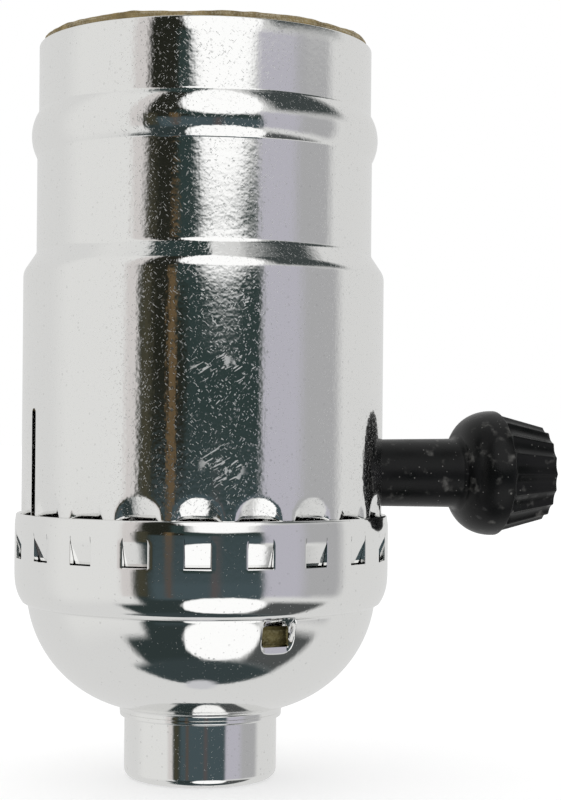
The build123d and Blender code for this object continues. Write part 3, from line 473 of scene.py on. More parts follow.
def cut_inside(y, z):
    """The narrow gap round a tab's three free sides."""
    slit = CATCH_WIDE / 2 - CATCH_GAP < abs(y) < CATCH_WIDE / 2 and CATCH_LOW < z < CATCH_HIGH
    foot = abs(y) < CATCH_WIDE / 2 and CATCH_LOW < z < CATCH_LOW + CATCH_GAP
    return slit or foot


cap = sheet(
    "cap_plated",
    cap_section,
    cap_turns,
    cap_shift,
    [(math.radians(CATCH_PHASE + k * 360 / CATCHES), cut_inside, None) for k in range(CATCHES)]
    + [box_opening(SCOOP_ANGLE, HOLE_WIDE + HOLE_SPREAD, HOLE_LOW - HOLE_DROP, HOLE_HIGH, HOLE_CORNER)],
    SHEET,
    lip_round(CAP_TOP, LIP_ROUND),
)
print("cap faces", len(cap.data.polygons), "columns", len(cap_turns))

# %% [markdown]
# The hub is turned from bar and threaded inside for lamp pipe at 27 turns to the inch.
# A thread is a wave in radius that slides along the axis by one pitch in each turn,
# so the lathe helper makes it from the wall's rows alone.

# %% Hub: build
INCH = 25.4
HUB_R, HUB_EDGE, HUB_LIP_R, HUB_LIP_LOW, STAKE = 7.15, 0.9, 7.58, 5.75, 0.6  # the solid's lip is at 7.75
THREAD_R, THREAD_DEEP, PIPE_PITCH, THREAD_RUNOUT = 4.55, 0.5, INCH / 27, 0.4
HUB_MOUTH = (5.2, 5.3)       # bottom and top faces start this far from the axis
COLLAR_SEAT = COLLAR_LOW + SHEET
HUB_TOP = COLLAR_SEAT + STAKE
hub_loop = rounded([(HUB_MOUTH[0], 0), (HUB_R, 0), (HUB_R, HUB_LIP_LOW)], [HUB_EDGE], 10)
hub_loop += rounded(
    [(HUB_R, HUB_LIP_LOW), (HUB_LIP_R, HUB_LIP_LOW + 0.1), (HUB_LIP_R, COLLAR_LOW), (HUB_NECK_R, COLLAR_LOW)],
    [0.18, 0.1],
    4,
)[1:]
hub_loop += [(HUB_NECK_R, COLLAR_SEAT)]
hub_loop += rounded(
    [(HUB_NECK_R, COLLAR_SEAT), (STAKE_R, COLLAR_SEAT), (STAKE_R, HUB_TOP), (HUB_MOUTH[1], HUB_TOP)],
    [0.1, 0.3],
    4,
)[1:]
CRISP = 40                   # edges that bend more than these degrees stay sharp
thread_first = len(hub_loop)
hub_loop += [(THREAD_R + THREAD_DEEP, HUB_TOP)]
hub_loop += [(THREAD_R, z) for z in np.linspace(HUB_TOP - 0.02, 0.02, 90)] + [(THREAD_R + THREAD_DEEP, 0)]


def pipe_thread(turn, radius, height, index):
    """Cuts the thread's grooves, and opens both ends of the bore as a chamfer does."""
    if index <= thread_first or radius > THREAD_R:
        return 0.0
    wave = (turn / (2 * math.pi) - height / PIPE_PITCH) % 1
    depth = THREAD_DEEP * (1 - abs(2 * wave - 1)) * 1.15
    ends = max(0.0, THREAD_RUNOUT - height, height - HUB_TOP + THREAD_RUNOUT) / THREAD_RUNOUT
    return max(min(depth, THREAD_DEEP), ends * THREAD_DEEP)


hub = lathe("hub_threaded", hub_loop, 128, pipe_thread, sharp=CRISP)
print("hub faces", len(hub.data.polygons))

# %% Hub: hole for the set screw
SET_R, SET_Z, DRILL_LONG = 1.75, 3.3, 20.0
drill_mesh = bpy.data.meshes.new("drill")
drill_work = bmesh.new()
bmesh.ops.create_cone(
    drill_work, cap_ends=True, segments=48, radius1=SET_R * MM, radius2=SET_R * MM, depth=DRILL_LONG * MM
)
drill_work.to_mesh(drill_mesh)
drill_work.free()
drill = bpy.data.objects.new("drill", drill_mesh)
drill.rotation_euler = (math.pi / 2, 0, 0)
drill.location = (0, DRILL_LONG / 2 * MM, SET_Z * MM)
bpy.context.scene.collection.objects.link(drill)
cut = hub.modifiers.new("set_screw_hole", "BOOLEAN")
cut.object, cut.operation, cut.solver = drill, "DIFFERENCE", "EXACT"
bpy.context.view_layer.update()
bored = bpy.data.meshes.new_from_object(hub.evaluated_get(bpy.context.evaluated_depsgraph_get()))
hub.modifiers.clear()
hub.data = bored
bpy.data.objects.remove(drill)
for face in bored.polygons:
    face.use_smooth = True
bored.set_sharp_from_angle(angle=math.radians(CRISP))
print("hub faces with its hole", len(bored.polygons))

# %% [markdown]
# The liner is a tube of vulcanised fibre, sawn from a longer one. Its cut end is the one part seen,
# as a fuzzy brown line over the rim, so the top row of its grid wanders up and down.

# %% Liner: build
FUZZ, FUZZ_REACH = 0.42, 1.2  # how far the sawn edge dips, and the height of tube that follows it


def wander(turn):
    """An uneven edge: a few slow waves and many short ones, always 0 to 1."""
    slow = math.sin(3 * turn + 0.7) + 0.8 * math.sin(7 * turn + 2.1) + 0.6 * math.sin(12 * turn)
    fast = 0.35 * math.sin(29 * turn + 1) * math.sin(5 * turn)
    fast += 0.3 * math.sin(53 * turn + 4) * math.sin(8 * turn + 1)
    return min(max(0.4 + (slow + fast) / 6, 0), 1)


def liner_drop(turn, height):
    return height - FUZZ * wander(turn) * smooth((height - LINER_TOP + FUZZ_REACH) / FUZZ_REACH)


slot_rows = np.linspace(25.2, 34.8, 40)
edge_rows = [67.8, 68.2, 68.5, 68.75, 68.9, LINER_TOP]
liner_z = [*np.linspace(LINER_LOW, 25, 6), *slot_rows, 40, 50, 60, 67, *edge_rows]
liner = sheet(
    "liner_fibre_tube",
    with_normals([(LINER_R, z) for z in liner_z]),
    columns_near(1.0),
    lambda turn, height: 0.0,
    [slot_opening(0, STEM_SLOT, KNOB_Z)],
    LINER_R - LINER_BORE,
    lip_round(LINER_TOP, RIM_ROUND),
)
for vertex in liner.data.vertices:
    x, y, z = vertex.co
    if z / MM > LINER_TOP - FUZZ_REACH:
        vertex.co.z = liner_drop(math.atan2(y, x), z / MM) * MM
print("liner faces", len(liner.data.polygons))

# %% [markdown]
# The screw shell's thread is rolled in thin metal, so its inside and outside are the same rounded wave.
# Lamp bases have 7 turns to the inch. The wave fades in above the plain band and out below the flared lip.

# %% Screw shell: build
SCREW_R, SCREW_WALL, SCREW_LOW, SCREW_TOP, LIP_R, LIP_H = 12.15, 0.35, 42.3, 59.4, 13.5, 0.9
FOOT_R, FOOT_LEAN, FLOOR_HOLE, BODY_TOP = 11.85, 0.6, 6.0, 38.0
LAMP_PITCH, LAMP_DEPTH, THREAD_START, CREST_UP = INCH / 7, 1.2, 33.0, 0.95
RIDGE_AT = SCREW_LOW + CREST_UP - THREAD_START / 360 * LAMP_PITCH  # height of the crest on the +X side
rows_up = np.linspace(SCREW_LOW, SCREW_TOP, 110)
inner_wall = [(FOOT_R, SCREW_LOW - FOOT_LEAN)] + [(SCREW_R, z) for z in rows_up]
outer_wall = [(r + SCREW_WALL, z) for r, z in inner_wall]
FOOT_BEND = 0.8
outer_foot, foot_high = FOOT_R + SCREW_WALL, SCREW_LOW - FOOT_LEAN
floor_corners = [(FLOOR_HOLE, BODY_TOP), (outer_foot, BODY_TOP), (outer_foot, foot_high)]
floor_line = rounded(floor_corners, [FOOT_BEND], 6)[:-1]
screw_loop = floor_line + outer_wall + [(LIP_R, SCREW_TOP + LIP_H), (LIP_R - SCREW_WALL, SCREW_TOP + LIP_H)]
floor_top = BODY_TOP + SCREW_WALL
inner_foot = [(FOOT_R, foot_high), (FOOT_R, floor_top), (FLOOR_HOLE, floor_top)]
screw_loop += inner_wall[::-1] + rounded(inner_foot, [FOOT_BEND - SCREW_WALL], 6)[1:]


def lamp_thread(turn, radius, height, index):
    """The rolled wave, faded in over the plain foot and out under the lip."""
    if height <= foot_high or height > SCREW_TOP:
        return 0.0
    wave = (1 + math.cos(turn - 2 * math.pi * (height - RIDGE_AT) / LAMP_PITCH)) / 2
    fade = smooth((height - SCREW_LOW + 0.3) / 1.6) * smooth((SCREW_TOP + 0.2 - height) / 1.4)
    return LAMP_DEPTH * wave * fade


screw_shell = lathe("screw_shell_rolled", screw_loop, 160, lamp_thread, sharp=CRISP)
print("screw shell faces", len(screw_shell.data.polygons))

# %% [markdown]
# The knob is one moulding. Its grip has eighteen hollow flutes between narrow ridges,
# which the lathe helper makes by drawing the radius in between ridges.

# %% Knob: build
STEM_START, STEM_R, STEM_END_R, FLANGE_START, FLANGE_PEAK, FLANGE_R = 15.5, 3.2, 3.35, 25.5, 29.0, 6.1
FLUTE_START, FLUTE_R, KNOB_END, KNOB_END_R, FLUTES, FLUTE_DEEP = 29.66, 5.75, 34.3, 4.6, 18, 0.38
KNOB_BORE, BORE_END, FLANGE_FALL = 2.2, 24.0, 0.4


def swell(share):
    """The ellipse from the stem up to the flange, for a share of its quarter turn."""
    angle = math.pi / 2 * share
    return (
        STEM_END_R + (FLANGE_R - STEM_END_R) * math.sin(angle),
        FLANGE_PEAK - (FLANGE_PEAK - FLANGE_START) * math.cos(angle),
    )


stem_side = [(KNOB_BORE, STEM_START), (STEM_R - 0.15, STEM_START), (STEM_R, STEM_START + 0.15)]
stem_side += run((STEM_R, STEM_START + 0.2), (STEM_END_R - 0.01, FLANGE_START - 0.9), 12)
foot_corner = [(STEM_END_R, FLANGE_START - 0.9), (STEM_END_R, FLANGE_START), (STEM_END_R + 1.2, FLANGE_START)]
foot = rounded(foot_corner, [0.6], 7)
flange = [p for p in foot[:-1] if p[0] < swell(0.24)[0]] + [swell(s) for s in np.linspace(0.26, 1, 16)]
brow_corners = [
    (FLANGE_R, FLANGE_PEAK),
    (FLANGE_R, FLUTE_START - FLANGE_FALL),
    (FLUTE_R, FLUTE_START),
    (FLUTE_R - 0.05, FLUTE_START + 0.5),
]
brow = rounded(brow_corners, [0.15, 0.15], 4)[1:-1]
grip = run((FLUTE_R, FLUTE_START + 0.12), (KNOB_END_R + 0.04, KNOB_END - 0.16), 14)
tip_corner = [(KNOB_END_R + 0.05, KNOB_END - 0.2), (KNOB_END_R, KNOB_END), (KNOB_END_R - 0.4, KNOB_END)]
tip = rounded(tip_corner, [0.12], 4)[1:]
END_SINK = 0.03              # the end face sinks by this much at its middle
end_face = [(3.4, KNOB_END), (2.0, KNOB_END - 0.02), (0, KNOB_END - END_SINK)]
knob_loop = stem_side + flange + brow + grip + tip + end_face + [(0, BORE_END), (KNOB_BORE, BORE_END)]
FLUTED = range(len(stem_side + flange) + 4, len(stem_side + flange + brow + grip + tip))


def flutes(turn, radius, along, index):
    """Hollows between the ridges, each a parabola that stops a little short of its ridge."""
    if index not in FLUTED:
        return 0.0
    wave = 2 * ((turn * FLUTES / (2 * math.pi)) % 1) - 1
    hollow = max(1 - wave * wave, 0.1)
    return -hollow * FLUTE_DEEP * radius / FLUTE_R


knob = lathe("knob_fluted", knob_loop, FLUTES * 16, flutes, on_knob_axis, sharp=50)
print("knob faces", len(knob.data.polygons))

# %% [markdown]
# Now each piece is told which body it moves with, and the solid it stands for is hidden.

# %% Ride and replace
for piece, node, body, finish in (
    (shell, "shell", "socket", "plated_shell"),
    (cap, "cap", "socket", "plated_shell"),
    (hub, "hub_bushing", "socket", "plated_shell"),
    (liner, "shell_liner", "socket", "liner_fibre"),
    (screw_shell, "screw_shell", "socket", "screw_shell_metal"),
    (knob, "knob", "spindle", "knob_plastic"),
):
    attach(piece, body)
    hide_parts(node)
    print(piece.name, "stands for", node, "on", body)

# %% [markdown]
# The eye stands a little to the left of the knob's side, at the height of the knob, and close,
# so the mouth is seen from just below. The object leans half a degree in its picture, and so does the eye.

# %% View settings
bpy.context.scene.view_settings.view_transform = "Standard"
print("view transform", bpy.context.scene.view_settings.view_transform)

# %% Camera
AWAY, ASIDE, EYE = 174.5, 7.32, 32.26
PICTURE_HIGH, FOCAL, RAISED = 800, 1850, 34  # in pixels: height, focal length and shift
CAMERA_TURN = math.radians(-15.5)
LEAN = math.radians(-0.5)
forward = Vector((-math.sin(CAMERA_TURN), math.cos(CAMERA_TURN), 0))
sideways = forward.cross(Vector((0, 0, 1)))
lens = bpy.data.cameras.new("eye")
lens.sensor_width = 36
lens.lens = FOCAL / PICTURE_HIGH * lens.sensor_width
lens.shift_y = RAISED / PICTURE_HIGH
lens.clip_start = 0.01
eye = bpy.data.objects.new("eye", lens)
eye.location = (forward * -AWAY + sideways * ASIDE + Vector((0, 0, EYE))) * MM
eye.rotation_mode = "QUATERNION"
eye.rotation_quaternion = forward.to_track_quat("-Z", "Y") @ Quaternion((0, 0, 1), -LEAN)
bpy.context.scene.collection.objects.link(eye)
bpy.context.scene.camera = eye
print("camera at", [round(c, 4) for c in eye.location])

# %% [markdown]
# A finish is a tree of nodes, and a few small helpers write one, in a material, a group or the sky alike.
# They add a node and fill its inputs with values or links, do sums, make noise of a given size,
# turn a band of values into a mask from 0 to 1, and blend two colours.

# %% Helpers: nodes, sums and masks
def add_node(tree, kind, inputs=None, **settings):
    """Adds a shader node. inputs: by name or number, a value or another node's output."""
    node = tree.nodes.new("ShaderNode" + kind)
    for key, value in settings.items():
        setattr(node, key, value)
    for key, value in (inputs or {}).items():
        if isinstance(value, bpy.types.NodeSocket):
            tree.links.new(value, node.inputs[key])
        else:
            node.inputs[key].default_value = value
    return node


def sums(tree, operation, *values):
    return add_node(tree, "Math", dict(enumerate(values)), operation=operation).outputs[0]


def mask_between(tree, value, low, high):
    """0 below low and 1 above high, softly, or the other way where low is the larger."""
    wanted = {"Value": value, "From Min": low, "From Max": high}
    return add_node(tree, "MapRange", wanted, interpolation_type="SMOOTHSTEP").outputs[0]


def noise(tree, place, size, detail):
    """Noise whose lumps are about that many millimetres across."""
    wanted = {"Vector": place, "Scale": sums(tree, "DIVIDE", 1, size), "Detail": detail}
    return add_node(tree, "TexNoise", wanted).outputs[0]


def blend_colours(tree, share, first, second):
    """The first colour where the share is 0, and the second where it is 1."""
    return add_node(tree, "Mix", {0: share, 6: first, 7: second}, data_type="RGBA").outputs[2]


# %% Helpers: groups
def new_group(name, numbers, outputs, place=True):
    """A group with named number inputs and, unless told otherwise, one vector input called Place, in mm."""
    group = bpy.data.node_groups.new(name, "ShaderNodeTree")
    if place:
        group.interface.new_socket("Place", in_out="INPUT", socket_type="NodeSocketVector")
    for label, value in numbers.items():
        group.interface.new_socket(label, in_out="INPUT", socket_type="NodeSocketFloat").default_value = value
    for label in outputs:
        group.interface.new_socket(label, in_out="OUTPUT", socket_type="NodeSocketFloat")
    return group, group.nodes.new("NodeGroupInput").outputs, group.nodes.new("NodeGroupOutput").inputs


def use_group(tree, group, **inputs):
    """Places a group. An underscore in a name stands for a space."""
    node = tree.nodes.new("ShaderNodeGroup")
    node.node_tree = group
    for key, value in inputs.items():
        socket = node.inputs[key.replace("_", " ")]
        if isinstance(value, bpy.types.NodeSocket):
            tree.links.new(value, socket)
        else:
            socket.default_value = value
    return node.outputs[0]


# %% [markdown]
# Nothing here is as smooth as its drawing. Drawn plate keeps fine streaks along the draw,
# a faint orange peel and slow waves, and moulded plastic keeps the pebble of its mould.
# One height group makes all of them: stretched noise, fine noise and slow noise, each with its own strength.

# %% Group: relief of a surface
relief_group, given, result = new_group(
    "surface_relief",
    {
        "Peel Size": 0.45, "Peel": 1, "Streaks": 1, "Streak Width": 0.2,
        "Upright": 1, "Waves": 1, "Wave Size": 5,
    },
    ["Height"],
)
fine = noise(relief_group, given["Place"], given["Peel Size"], 1)
LONG = 0.03                  # a streak is as much longer than wide as one is to this
along = sums(relief_group, "SUBTRACT", 1, sums(relief_group, "MULTIPLY", given["Upright"], 1 - LONG))
across = sums(relief_group, "ADD", LONG, sums(relief_group, "MULTIPLY", given["Upright"], 1 - LONG))
stretch = add_node(relief_group, "CombineXYZ", {0: across, 1: across, 2: along}).outputs[0]
drawn = add_node(relief_group, "VectorMath", {0: given["Place"], 1: stretch}, operation="MULTIPLY").outputs[0]
streaks = noise(relief_group, drawn, given["Streak Width"], 2)
slow = noise(relief_group, given["Place"], given["Wave Size"], 0)
height = sums(relief_group, "MULTIPLY", fine, given["Peel"])
height = sums(relief_group, "MULTIPLY_ADD", streaks, given["Streaks"], height)
height = sums(relief_group, "MULTIPLY_ADD", slow, given["Waves"], height)
relief_group.links.new(height, result["Height"])
print("groups:", [group.name for group in bpy.data.node_groups])

# %% [markdown]
# Wear comes in two kinds of mark. Specks are pits, dust and chips: cells of a Voronoi texture,
# of which a share is kept, each as a small blot of its own size. Scratches are the peaks of a noise
# drawn out along one direction, so that only thin dashes stand out.

# %% Group: specks
speck_group, given, result = new_group("specks", {"Spacing": 1, "Size": 0.2, "Share": 0.3}, ["Mask"])
tightness = sums(speck_group, "DIVIDE", 1, given["Spacing"])
cells = add_node(speck_group, "TexVoronoi", {"Vector": given["Place"], "Scale": tightness})
chance = add_node(speck_group, "SeparateColor", {0: cells.outputs["Color"]})
kept = sums(speck_group, "LESS_THAN", chance.outputs[0], given["Share"])
reach = sums(speck_group, "MULTIPLY", given["Size"], sums(speck_group, "ADD", 0.3, chance.outputs[1]))
blot = mask_between(speck_group, cells.outputs["Distance"], reach, sums(speck_group, "MULTIPLY", reach, 0.6))
speck_group.links.new(sums(speck_group, "MULTIPLY", kept, blot), result["Mask"])

# %% Group: scratches
FACING = math.radians(-105.5)
scratch_group, given, result = new_group(
    "scratches", {"Angle": 0, "Width": 0.1, "Length": 2, "Share": 0.3}, ["Mask"]
)
outward = (math.cos(FACING), math.sin(FACING), 0)
slant = sums(scratch_group, "RADIANS", given["Angle"])
aslant = add_node(scratch_group, "VectorRotate", {"Vector": given["Place"], "Axis": outward, "Angle": slant})
slimness = sums(scratch_group, "DIVIDE", given["Width"], given["Length"])
squeeze = add_node(scratch_group, "CombineXYZ", {0: 1, 1: 1, 2: slimness})
both = {0: aslant.outputs[0], 1: squeeze.outputs[0]}
drawn_out = add_node(scratch_group, "VectorMath", both, operation="MULTIPLY").outputs[0]
LUMP = 0.7                   # a dash is about this share of a noise lump wide
dashes = noise(scratch_group, drawn_out, sums(scratch_group, "DIVIDE", given["Width"], LUMP), 1)
limit = sums(scratch_group, "SUBTRACT", 0.78, sums(scratch_group, "MULTIPLY", given["Share"], 0.2))
dash = mask_between(scratch_group, dashes, limit, sums(scratch_group, "ADD", limit, 0.04))
scratch_group.links.new(dash, result["Mask"])

# %% [markdown]
# Large soft patches vary a colour or a gloss, and worn edges show paler than the faces beside them.
# Cycles tells an edge by its pointiness, which the material hands to the group.

# %% Group: cloudy patches
cloud_group, given, result = new_group("cloudy_patches", {"Size": 5, "Low": 0.35, "High": 0.65}, ["Mask"])
cloud = noise(cloud_group, given["Place"], given["Size"], 4)
cloud_group.links.new(mask_between(cloud_group, cloud, given["Low"], given["High"]), result["Mask"])

# %% Group: worn edges
wear_group, given, result = new_group("worn_edges", {"Pointiness": 0.5, "Start": 0.52, "Full": 0.6}, ["Mask"])
ridge = mask_between(wear_group, given["Pointiness"], given["Start"], given["Full"])
uneven = add_node(wear_group, "TexNoise", {"Vector": given["Place"], "Scale": 1.3, "Detail": 3})
rubbed = mask_between(wear_group, uneven.outputs[0], 0.35, 0.6)
wear_group.links.new(sums(wear_group, "MULTIPLY", ridge, rubbed), result["Mask"])
print("groups:", [group.name for group in bpy.data.node_groups])


# %% Helper: a new material
def new_material(name):
    """A material with its tree, its shader and the place on the piece in mm."""
    material = bpy.data.materials.new(name)
    material.use_nodes = True
    tree = material.node_tree
    shader = next(node for node in tree.nodes if node.type == "BSDF_PRINCIPLED")
    spot = add_node(tree, "TexCoord").outputs["Object"]
    place = add_node(tree, "VectorMath", {0: spot, "Scale": 1 / MM}, operation="SCALE").outputs[0]
    return material, tree, shader, place


def raise_bump(tree, shader, height, microns):
    """Feeds a height from 0 to 1 to the shader's normal, as that many thousandths of a millimetre."""
    bump = add_node(tree, "Bump", {"Height": height, "Distance": microns * MM / 1000, "Strength": 1})
    tree.links.new(bump.outputs[0], shader.inputs["Normal"])


def put_on(material, *things):
    for thing in things:
        thing.data.materials.clear()
        thing.data.materials.append(material)
    print(material.name, "on", [thing.name for thing in things])


# %% [markdown]
# Bright nickel over steel is nearly a mirror. What tells it from glass is its small faults:
# pits that shine grey where the mirror is dark, thin scratches, a few rubbed places, and reflections
# that waver at their edges. The colour hardly changes, so most of the work goes into roughness and height.

# %% Finish: bright plate
NICKEL = (0.89, 0.89, 0.88, 1)
PIT = (0.80, 0.80, 0.79, 1)


def plate_finish(name, relief, microns, gloss=(0.04, 0.08), pits=0.5, dashed=0.4, rubbed=()):
    """rubbed: (x, y, z, reach) in mm for each place that other metal has scuffed."""
    material, tree, shader, place = new_material(name)
    shader.inputs["Metallic"].default_value = 1
    clouds = use_group(tree, cloud_group, Place=place, Size=7)
    pitted = use_group(tree, speck_group, Place=place, Spacing=0.4, Size=0.3, Share=pits)
    marks = use_group(tree, scratch_group, Place=place, Angle=35, Width=0.07, Length=0.3, Share=dashed)
    other = use_group(tree, scratch_group, Place=place, Angle=-50, Width=0.07, Length=0.35, Share=dashed)
    marks = sums(tree, "MAXIMUM", marks, other)
    spoilt = sums(tree, "MAXIMUM", sums(tree, "MULTIPLY", pitted, 0.22), sums(tree, "MULTIPLY", marks, 0.34))
    if rubbed:
        near = 0.0
        for x, y, z, reach in rubbed:
            away = add_node(tree, "VectorMath", {0: place, 1: (x, y, z)}, operation="DISTANCE")
            near = sums(tree, "MAXIMUM", near, mask_between(tree, away.outputs["Value"], reach, reach * 0.5))
        smear = use_group(tree, cloud_group, Place=place, Size=1.6, Low=0.56, High=0.64)
        stroke = use_group(tree, scratch_group, Place=place, Angle=60, Width=0.12, Length=1.4, Share=0.8)
        scuffs = sums(tree, "MULTIPLY", near, sums(tree, "MAXIMUM", smear, stroke))
        spoilt = sums(tree, "MAXIMUM", spoilt, sums(tree, "MULTIPLY", scuffs, 0.5))
    low, high = gloss
    rough = sums(tree, "MAXIMUM", sums(tree, "MULTIPLY_ADD", clouds, high - low, low), spoilt)
    tree.links.new(rough, shader.inputs["Roughness"])
    tree.links.new(blend_colours(tree, pitted, NICKEL, PIT), shader.inputs["Base Color"])
    height = use_group(tree, relief_group, Place=place, **relief)
    dug = sums(tree, "MAXIMUM", pitted, marks)
    height = sums(tree, "SUBTRACT", height, sums(tree, "MULTIPLY", dug, 0.25))
    raise_bump(tree, shader, height, microns)
    return material


# %% Finish: plate on shell, cap and hub
def on_barrel(turn, z):
    """A point on the barrel, some degrees to the right of the side that faces the eye."""
    angle = FACING + math.radians(turn)
    return BARREL_R * math.cos(angle), BARREL_R * math.sin(angle), z


drawn_relief = dict(Peel_Size=0.42, Peel=1, Streaks=0.3, Streak_Width=0.3, Waves=0.7, Wave_Size=4.5)
RUBBED = ((4, 38.4, 2.4), (14, 37.6, 1.6), (8, 29.4, 2.6), (13, 44, 1.5))  # degrees, height and reach
rubbed_places = [(*on_barrel(turn, z), reach) for turn, z, reach in RUBBED]
put_on(plate_finish("plated_shell", drawn_relief, 7.5, pits=0.3, dashed=0.5, rubbed=rubbed_places), shell)
pressed_relief = dict(Peel_Size=0.45, Peel=0.6, Streaks=0.15, Streak_Width=0.3, Waves=0.8, Wave_Size=4)
put_on(plate_finish("plated_cap", pressed_relief, 4, pits=0.15, dashed=0.2), cap)
turned_relief = dict(
    Peel_Size=0.5, Peel=0.6, Streaks=0.7, Streak_Width=0.15, Upright=0, Waves=0.5, Wave_Size=3
)
put_on(plate_finish("plated_hub", turned_relief, 3, pits=0.3, dashed=0.35), hub)

# %% [markdown]
# The other metals differ in colour and in how far the light spreads: rolled aluminium, stamped brass with
# tarnished patches, plated steel screws and the grey strip of the springs. One recipe serves them all.

# %% Finish: the other metals
def metal_finish(name, fresh, tarnished, gloss, relief, microns):
    material, tree, shader, place = new_material(name)
    shader.inputs["Metallic"].default_value = 1
    clouds = use_group(tree, cloud_group, Place=place, Size=2.5, Low=0.4, High=0.7)
    dots = use_group(tree, speck_group, Place=place, Spacing=0.5, Size=0.25, Share=0.25)
    pointed = add_node(tree, "NewGeometry").outputs["Pointiness"]
    worn = use_group(tree, wear_group, Place=place, Pointiness=pointed)
    dull = sums(tree, "SUBTRACT", sums(tree, "MAXIMUM", clouds, dots), worn)
    dull = mask_between(tree, dull, 0.0, 1.0)
    tree.links.new(blend_colours(tree, dull, (*fresh, 1), (*tarnished, 1)), shader.inputs["Base Color"])
    low, high = gloss
    tree.links.new(sums(tree, "MULTIPLY_ADD", dull, high - low, low), shader.inputs["Roughness"])
    raise_bump(tree, shader, use_group(tree, relief_group, Place=place, **relief), microns)
    return material


stamped = dict(Peel_Size=0.3, Peel=0.6, Streaks=0.6, Streak_Width=0.08, Waves=1, Wave_Size=2)
aluminium = metal_finish(
    "rolled_aluminium", (0.85, 0.85, 0.84), (0.68, 0.67, 0.65), (0.16, 0.32), drawn_relief, 4
)
put_on(aluminium, screw_shell)
brass = metal_finish("stamped_brass", (0.86, 0.66, 0.32), (0.55, 0.38, 0.17), (0.18, 0.38), stamped, 4)
put_on(brass, *[nodes[n] for n in (
    "centre_contact", "upper_contact", "centre_rivet",
    "hot_terminal", "hot_screw", "rotor_bridge", "knob_insert",
)])
steel = metal_finish("plated_steel", (0.70, 0.69, 0.66), (0.50, 0.49, 0.46), (0.2, 0.4), stamped, 4)
put_on(steel, *[nodes[n] for n in (
    "set_screw", "neutral_terminal", "neutral_screw",
    "body_rivets", "neutral_rivet", "switch_shaft",
)])
strip = metal_finish("spring_strip", (0.56, 0.56, 0.56), (0.40, 0.40, 0.41), (0.25, 0.45), stamped, 5)
put_on(strip, nodes["detent_spring"])

# %% [markdown]
# Vulcanised fibre is paper pressed hard. Its faces are brown and matt with long faint strands,
# and its sawn edge is paler, fuzzy and dotted, so the strands also roughen the surface.

# %% Finish: fibre board
def fibre_finish(name, body, pale, dark, strand):
    material, tree, shader, place = new_material(name)
    laid = dict(Peel_Size=0.18, Peel=0.6, Streaks=0.9, Streak_Width=strand, Upright=0, Waves=0.3)
    strands = use_group(tree, relief_group, Place=place, **laid)
    shade = use_group(tree, cloud_group, Place=place, Size=1.3, Low=0.3, High=0.72)
    flecks = use_group(tree, speck_group, Place=place, Spacing=0.35, Size=0.4, Share=0.35)
    colour = blend_colours(tree, shade, (*dark, 1), (*body, 1))
    lit = mask_between(tree, strands, 0.8, 1.15)
    colour = blend_colours(tree, sums(tree, "MULTIPLY", lit, 0.7), colour, (*pale, 1))
    colour = blend_colours(tree, sums(tree, "MULTIPLY", flecks, 0.5), colour, (*dark, 1))
    tree.links.new(colour, shader.inputs["Base Color"])
    tree.links.new(sums(tree, "MULTIPLY_ADD", shade, 0.15, 0.75), shader.inputs["Roughness"])
    shader.inputs["Specular IOR Level"].default_value = 0.3
    raise_bump(tree, shader, strands, 60)
    return material


put_on(fibre_finish("brown_fibre", (0.39, 0.30, 0.145), (0.62, 0.56, 0.42), (0.20, 0.15, 0.07), 0.09), liner)
# The cap liner's tan fibre is its real colour, but darkened further to paint the shade inside the cap behind
# its hole.
tan = fibre_finish("tan_fibre_with_painted_shade", (0.30, 0.25, 0.10), (0.46, 0.41, 0.22), (0.09, 0.075, 0.025), 0.3)
put_on(tan, nodes["cap_liner"])

# %% [markdown]
# The knob and the switch body are moulded. The knob is satin black with the fine pebble of its mould,
# a little pale dust that clings to it, and ridges rubbed smoother than the hollows between them.

# %% Finish: moulded plastic
RUBBED_PLASTIC = (0.10, 0.10, 0.10, 1)
DUST = (0.42, 0.41, 0.39, 1)


def moulded_finish(name, body, mottle, gloss, microns, dusty, shine=0.4):
    material, tree, shader, place = new_material(name)
    shader.inputs["Specular IOR Level"].default_value = shine
    grain = dict(Peel_Size=0.14, Peel=1, Streaks=0.15, Waves=1.2, Wave_Size=2.2)
    pebble = use_group(tree, relief_group, Place=place, **grain)
    shade = use_group(tree, cloud_group, Place=place, Size=3, Low=0.3, High=0.7)
    fine_dust = use_group(tree, speck_group, Place=place, Spacing=0.4, Size=0.17, Share=dusty)
    dust = use_group(tree, speck_group, Place=place, Spacing=1.1, Size=0.12, Share=dusty)
    smudge = use_group(tree, cloud_group, Place=place, Size=1.4, Low=0.58, High=0.78)
    dust = sums(tree, "MULTIPLY", sums(tree, "MAXIMUM", dust, fine_dust), 0.4)
    dust = sums(tree, "MAXIMUM", dust, sums(tree, "MULTIPLY", smudge, dusty))
    pointed = add_node(tree, "NewGeometry").outputs["Pointiness"]
    worn = use_group(tree, wear_group, Place=place, Pointiness=pointed, Start=0.53, Full=0.66)
    colour = blend_colours(tree, shade, (*body, 1), (*mottle, 1))
    colour = blend_colours(tree, sums(tree, "MULTIPLY", worn, 0.35), colour, RUBBED_PLASTIC)
    colour = blend_colours(tree, dust, colour, DUST)
    tree.links.new(colour, shader.inputs["Base Color"])
    low, high = gloss
    rough = sums(tree, "MULTIPLY_ADD", shade, high - low, low)
    rough = sums(tree, "SUBTRACT", rough, sums(tree, "MULTIPLY", worn, 0.08))
    tree.links.new(sums(tree, "MULTIPLY_ADD", dust, 0.5, rough), shader.inputs["Roughness"])
    raise_bump(tree, shader, pebble, microns)
    return material


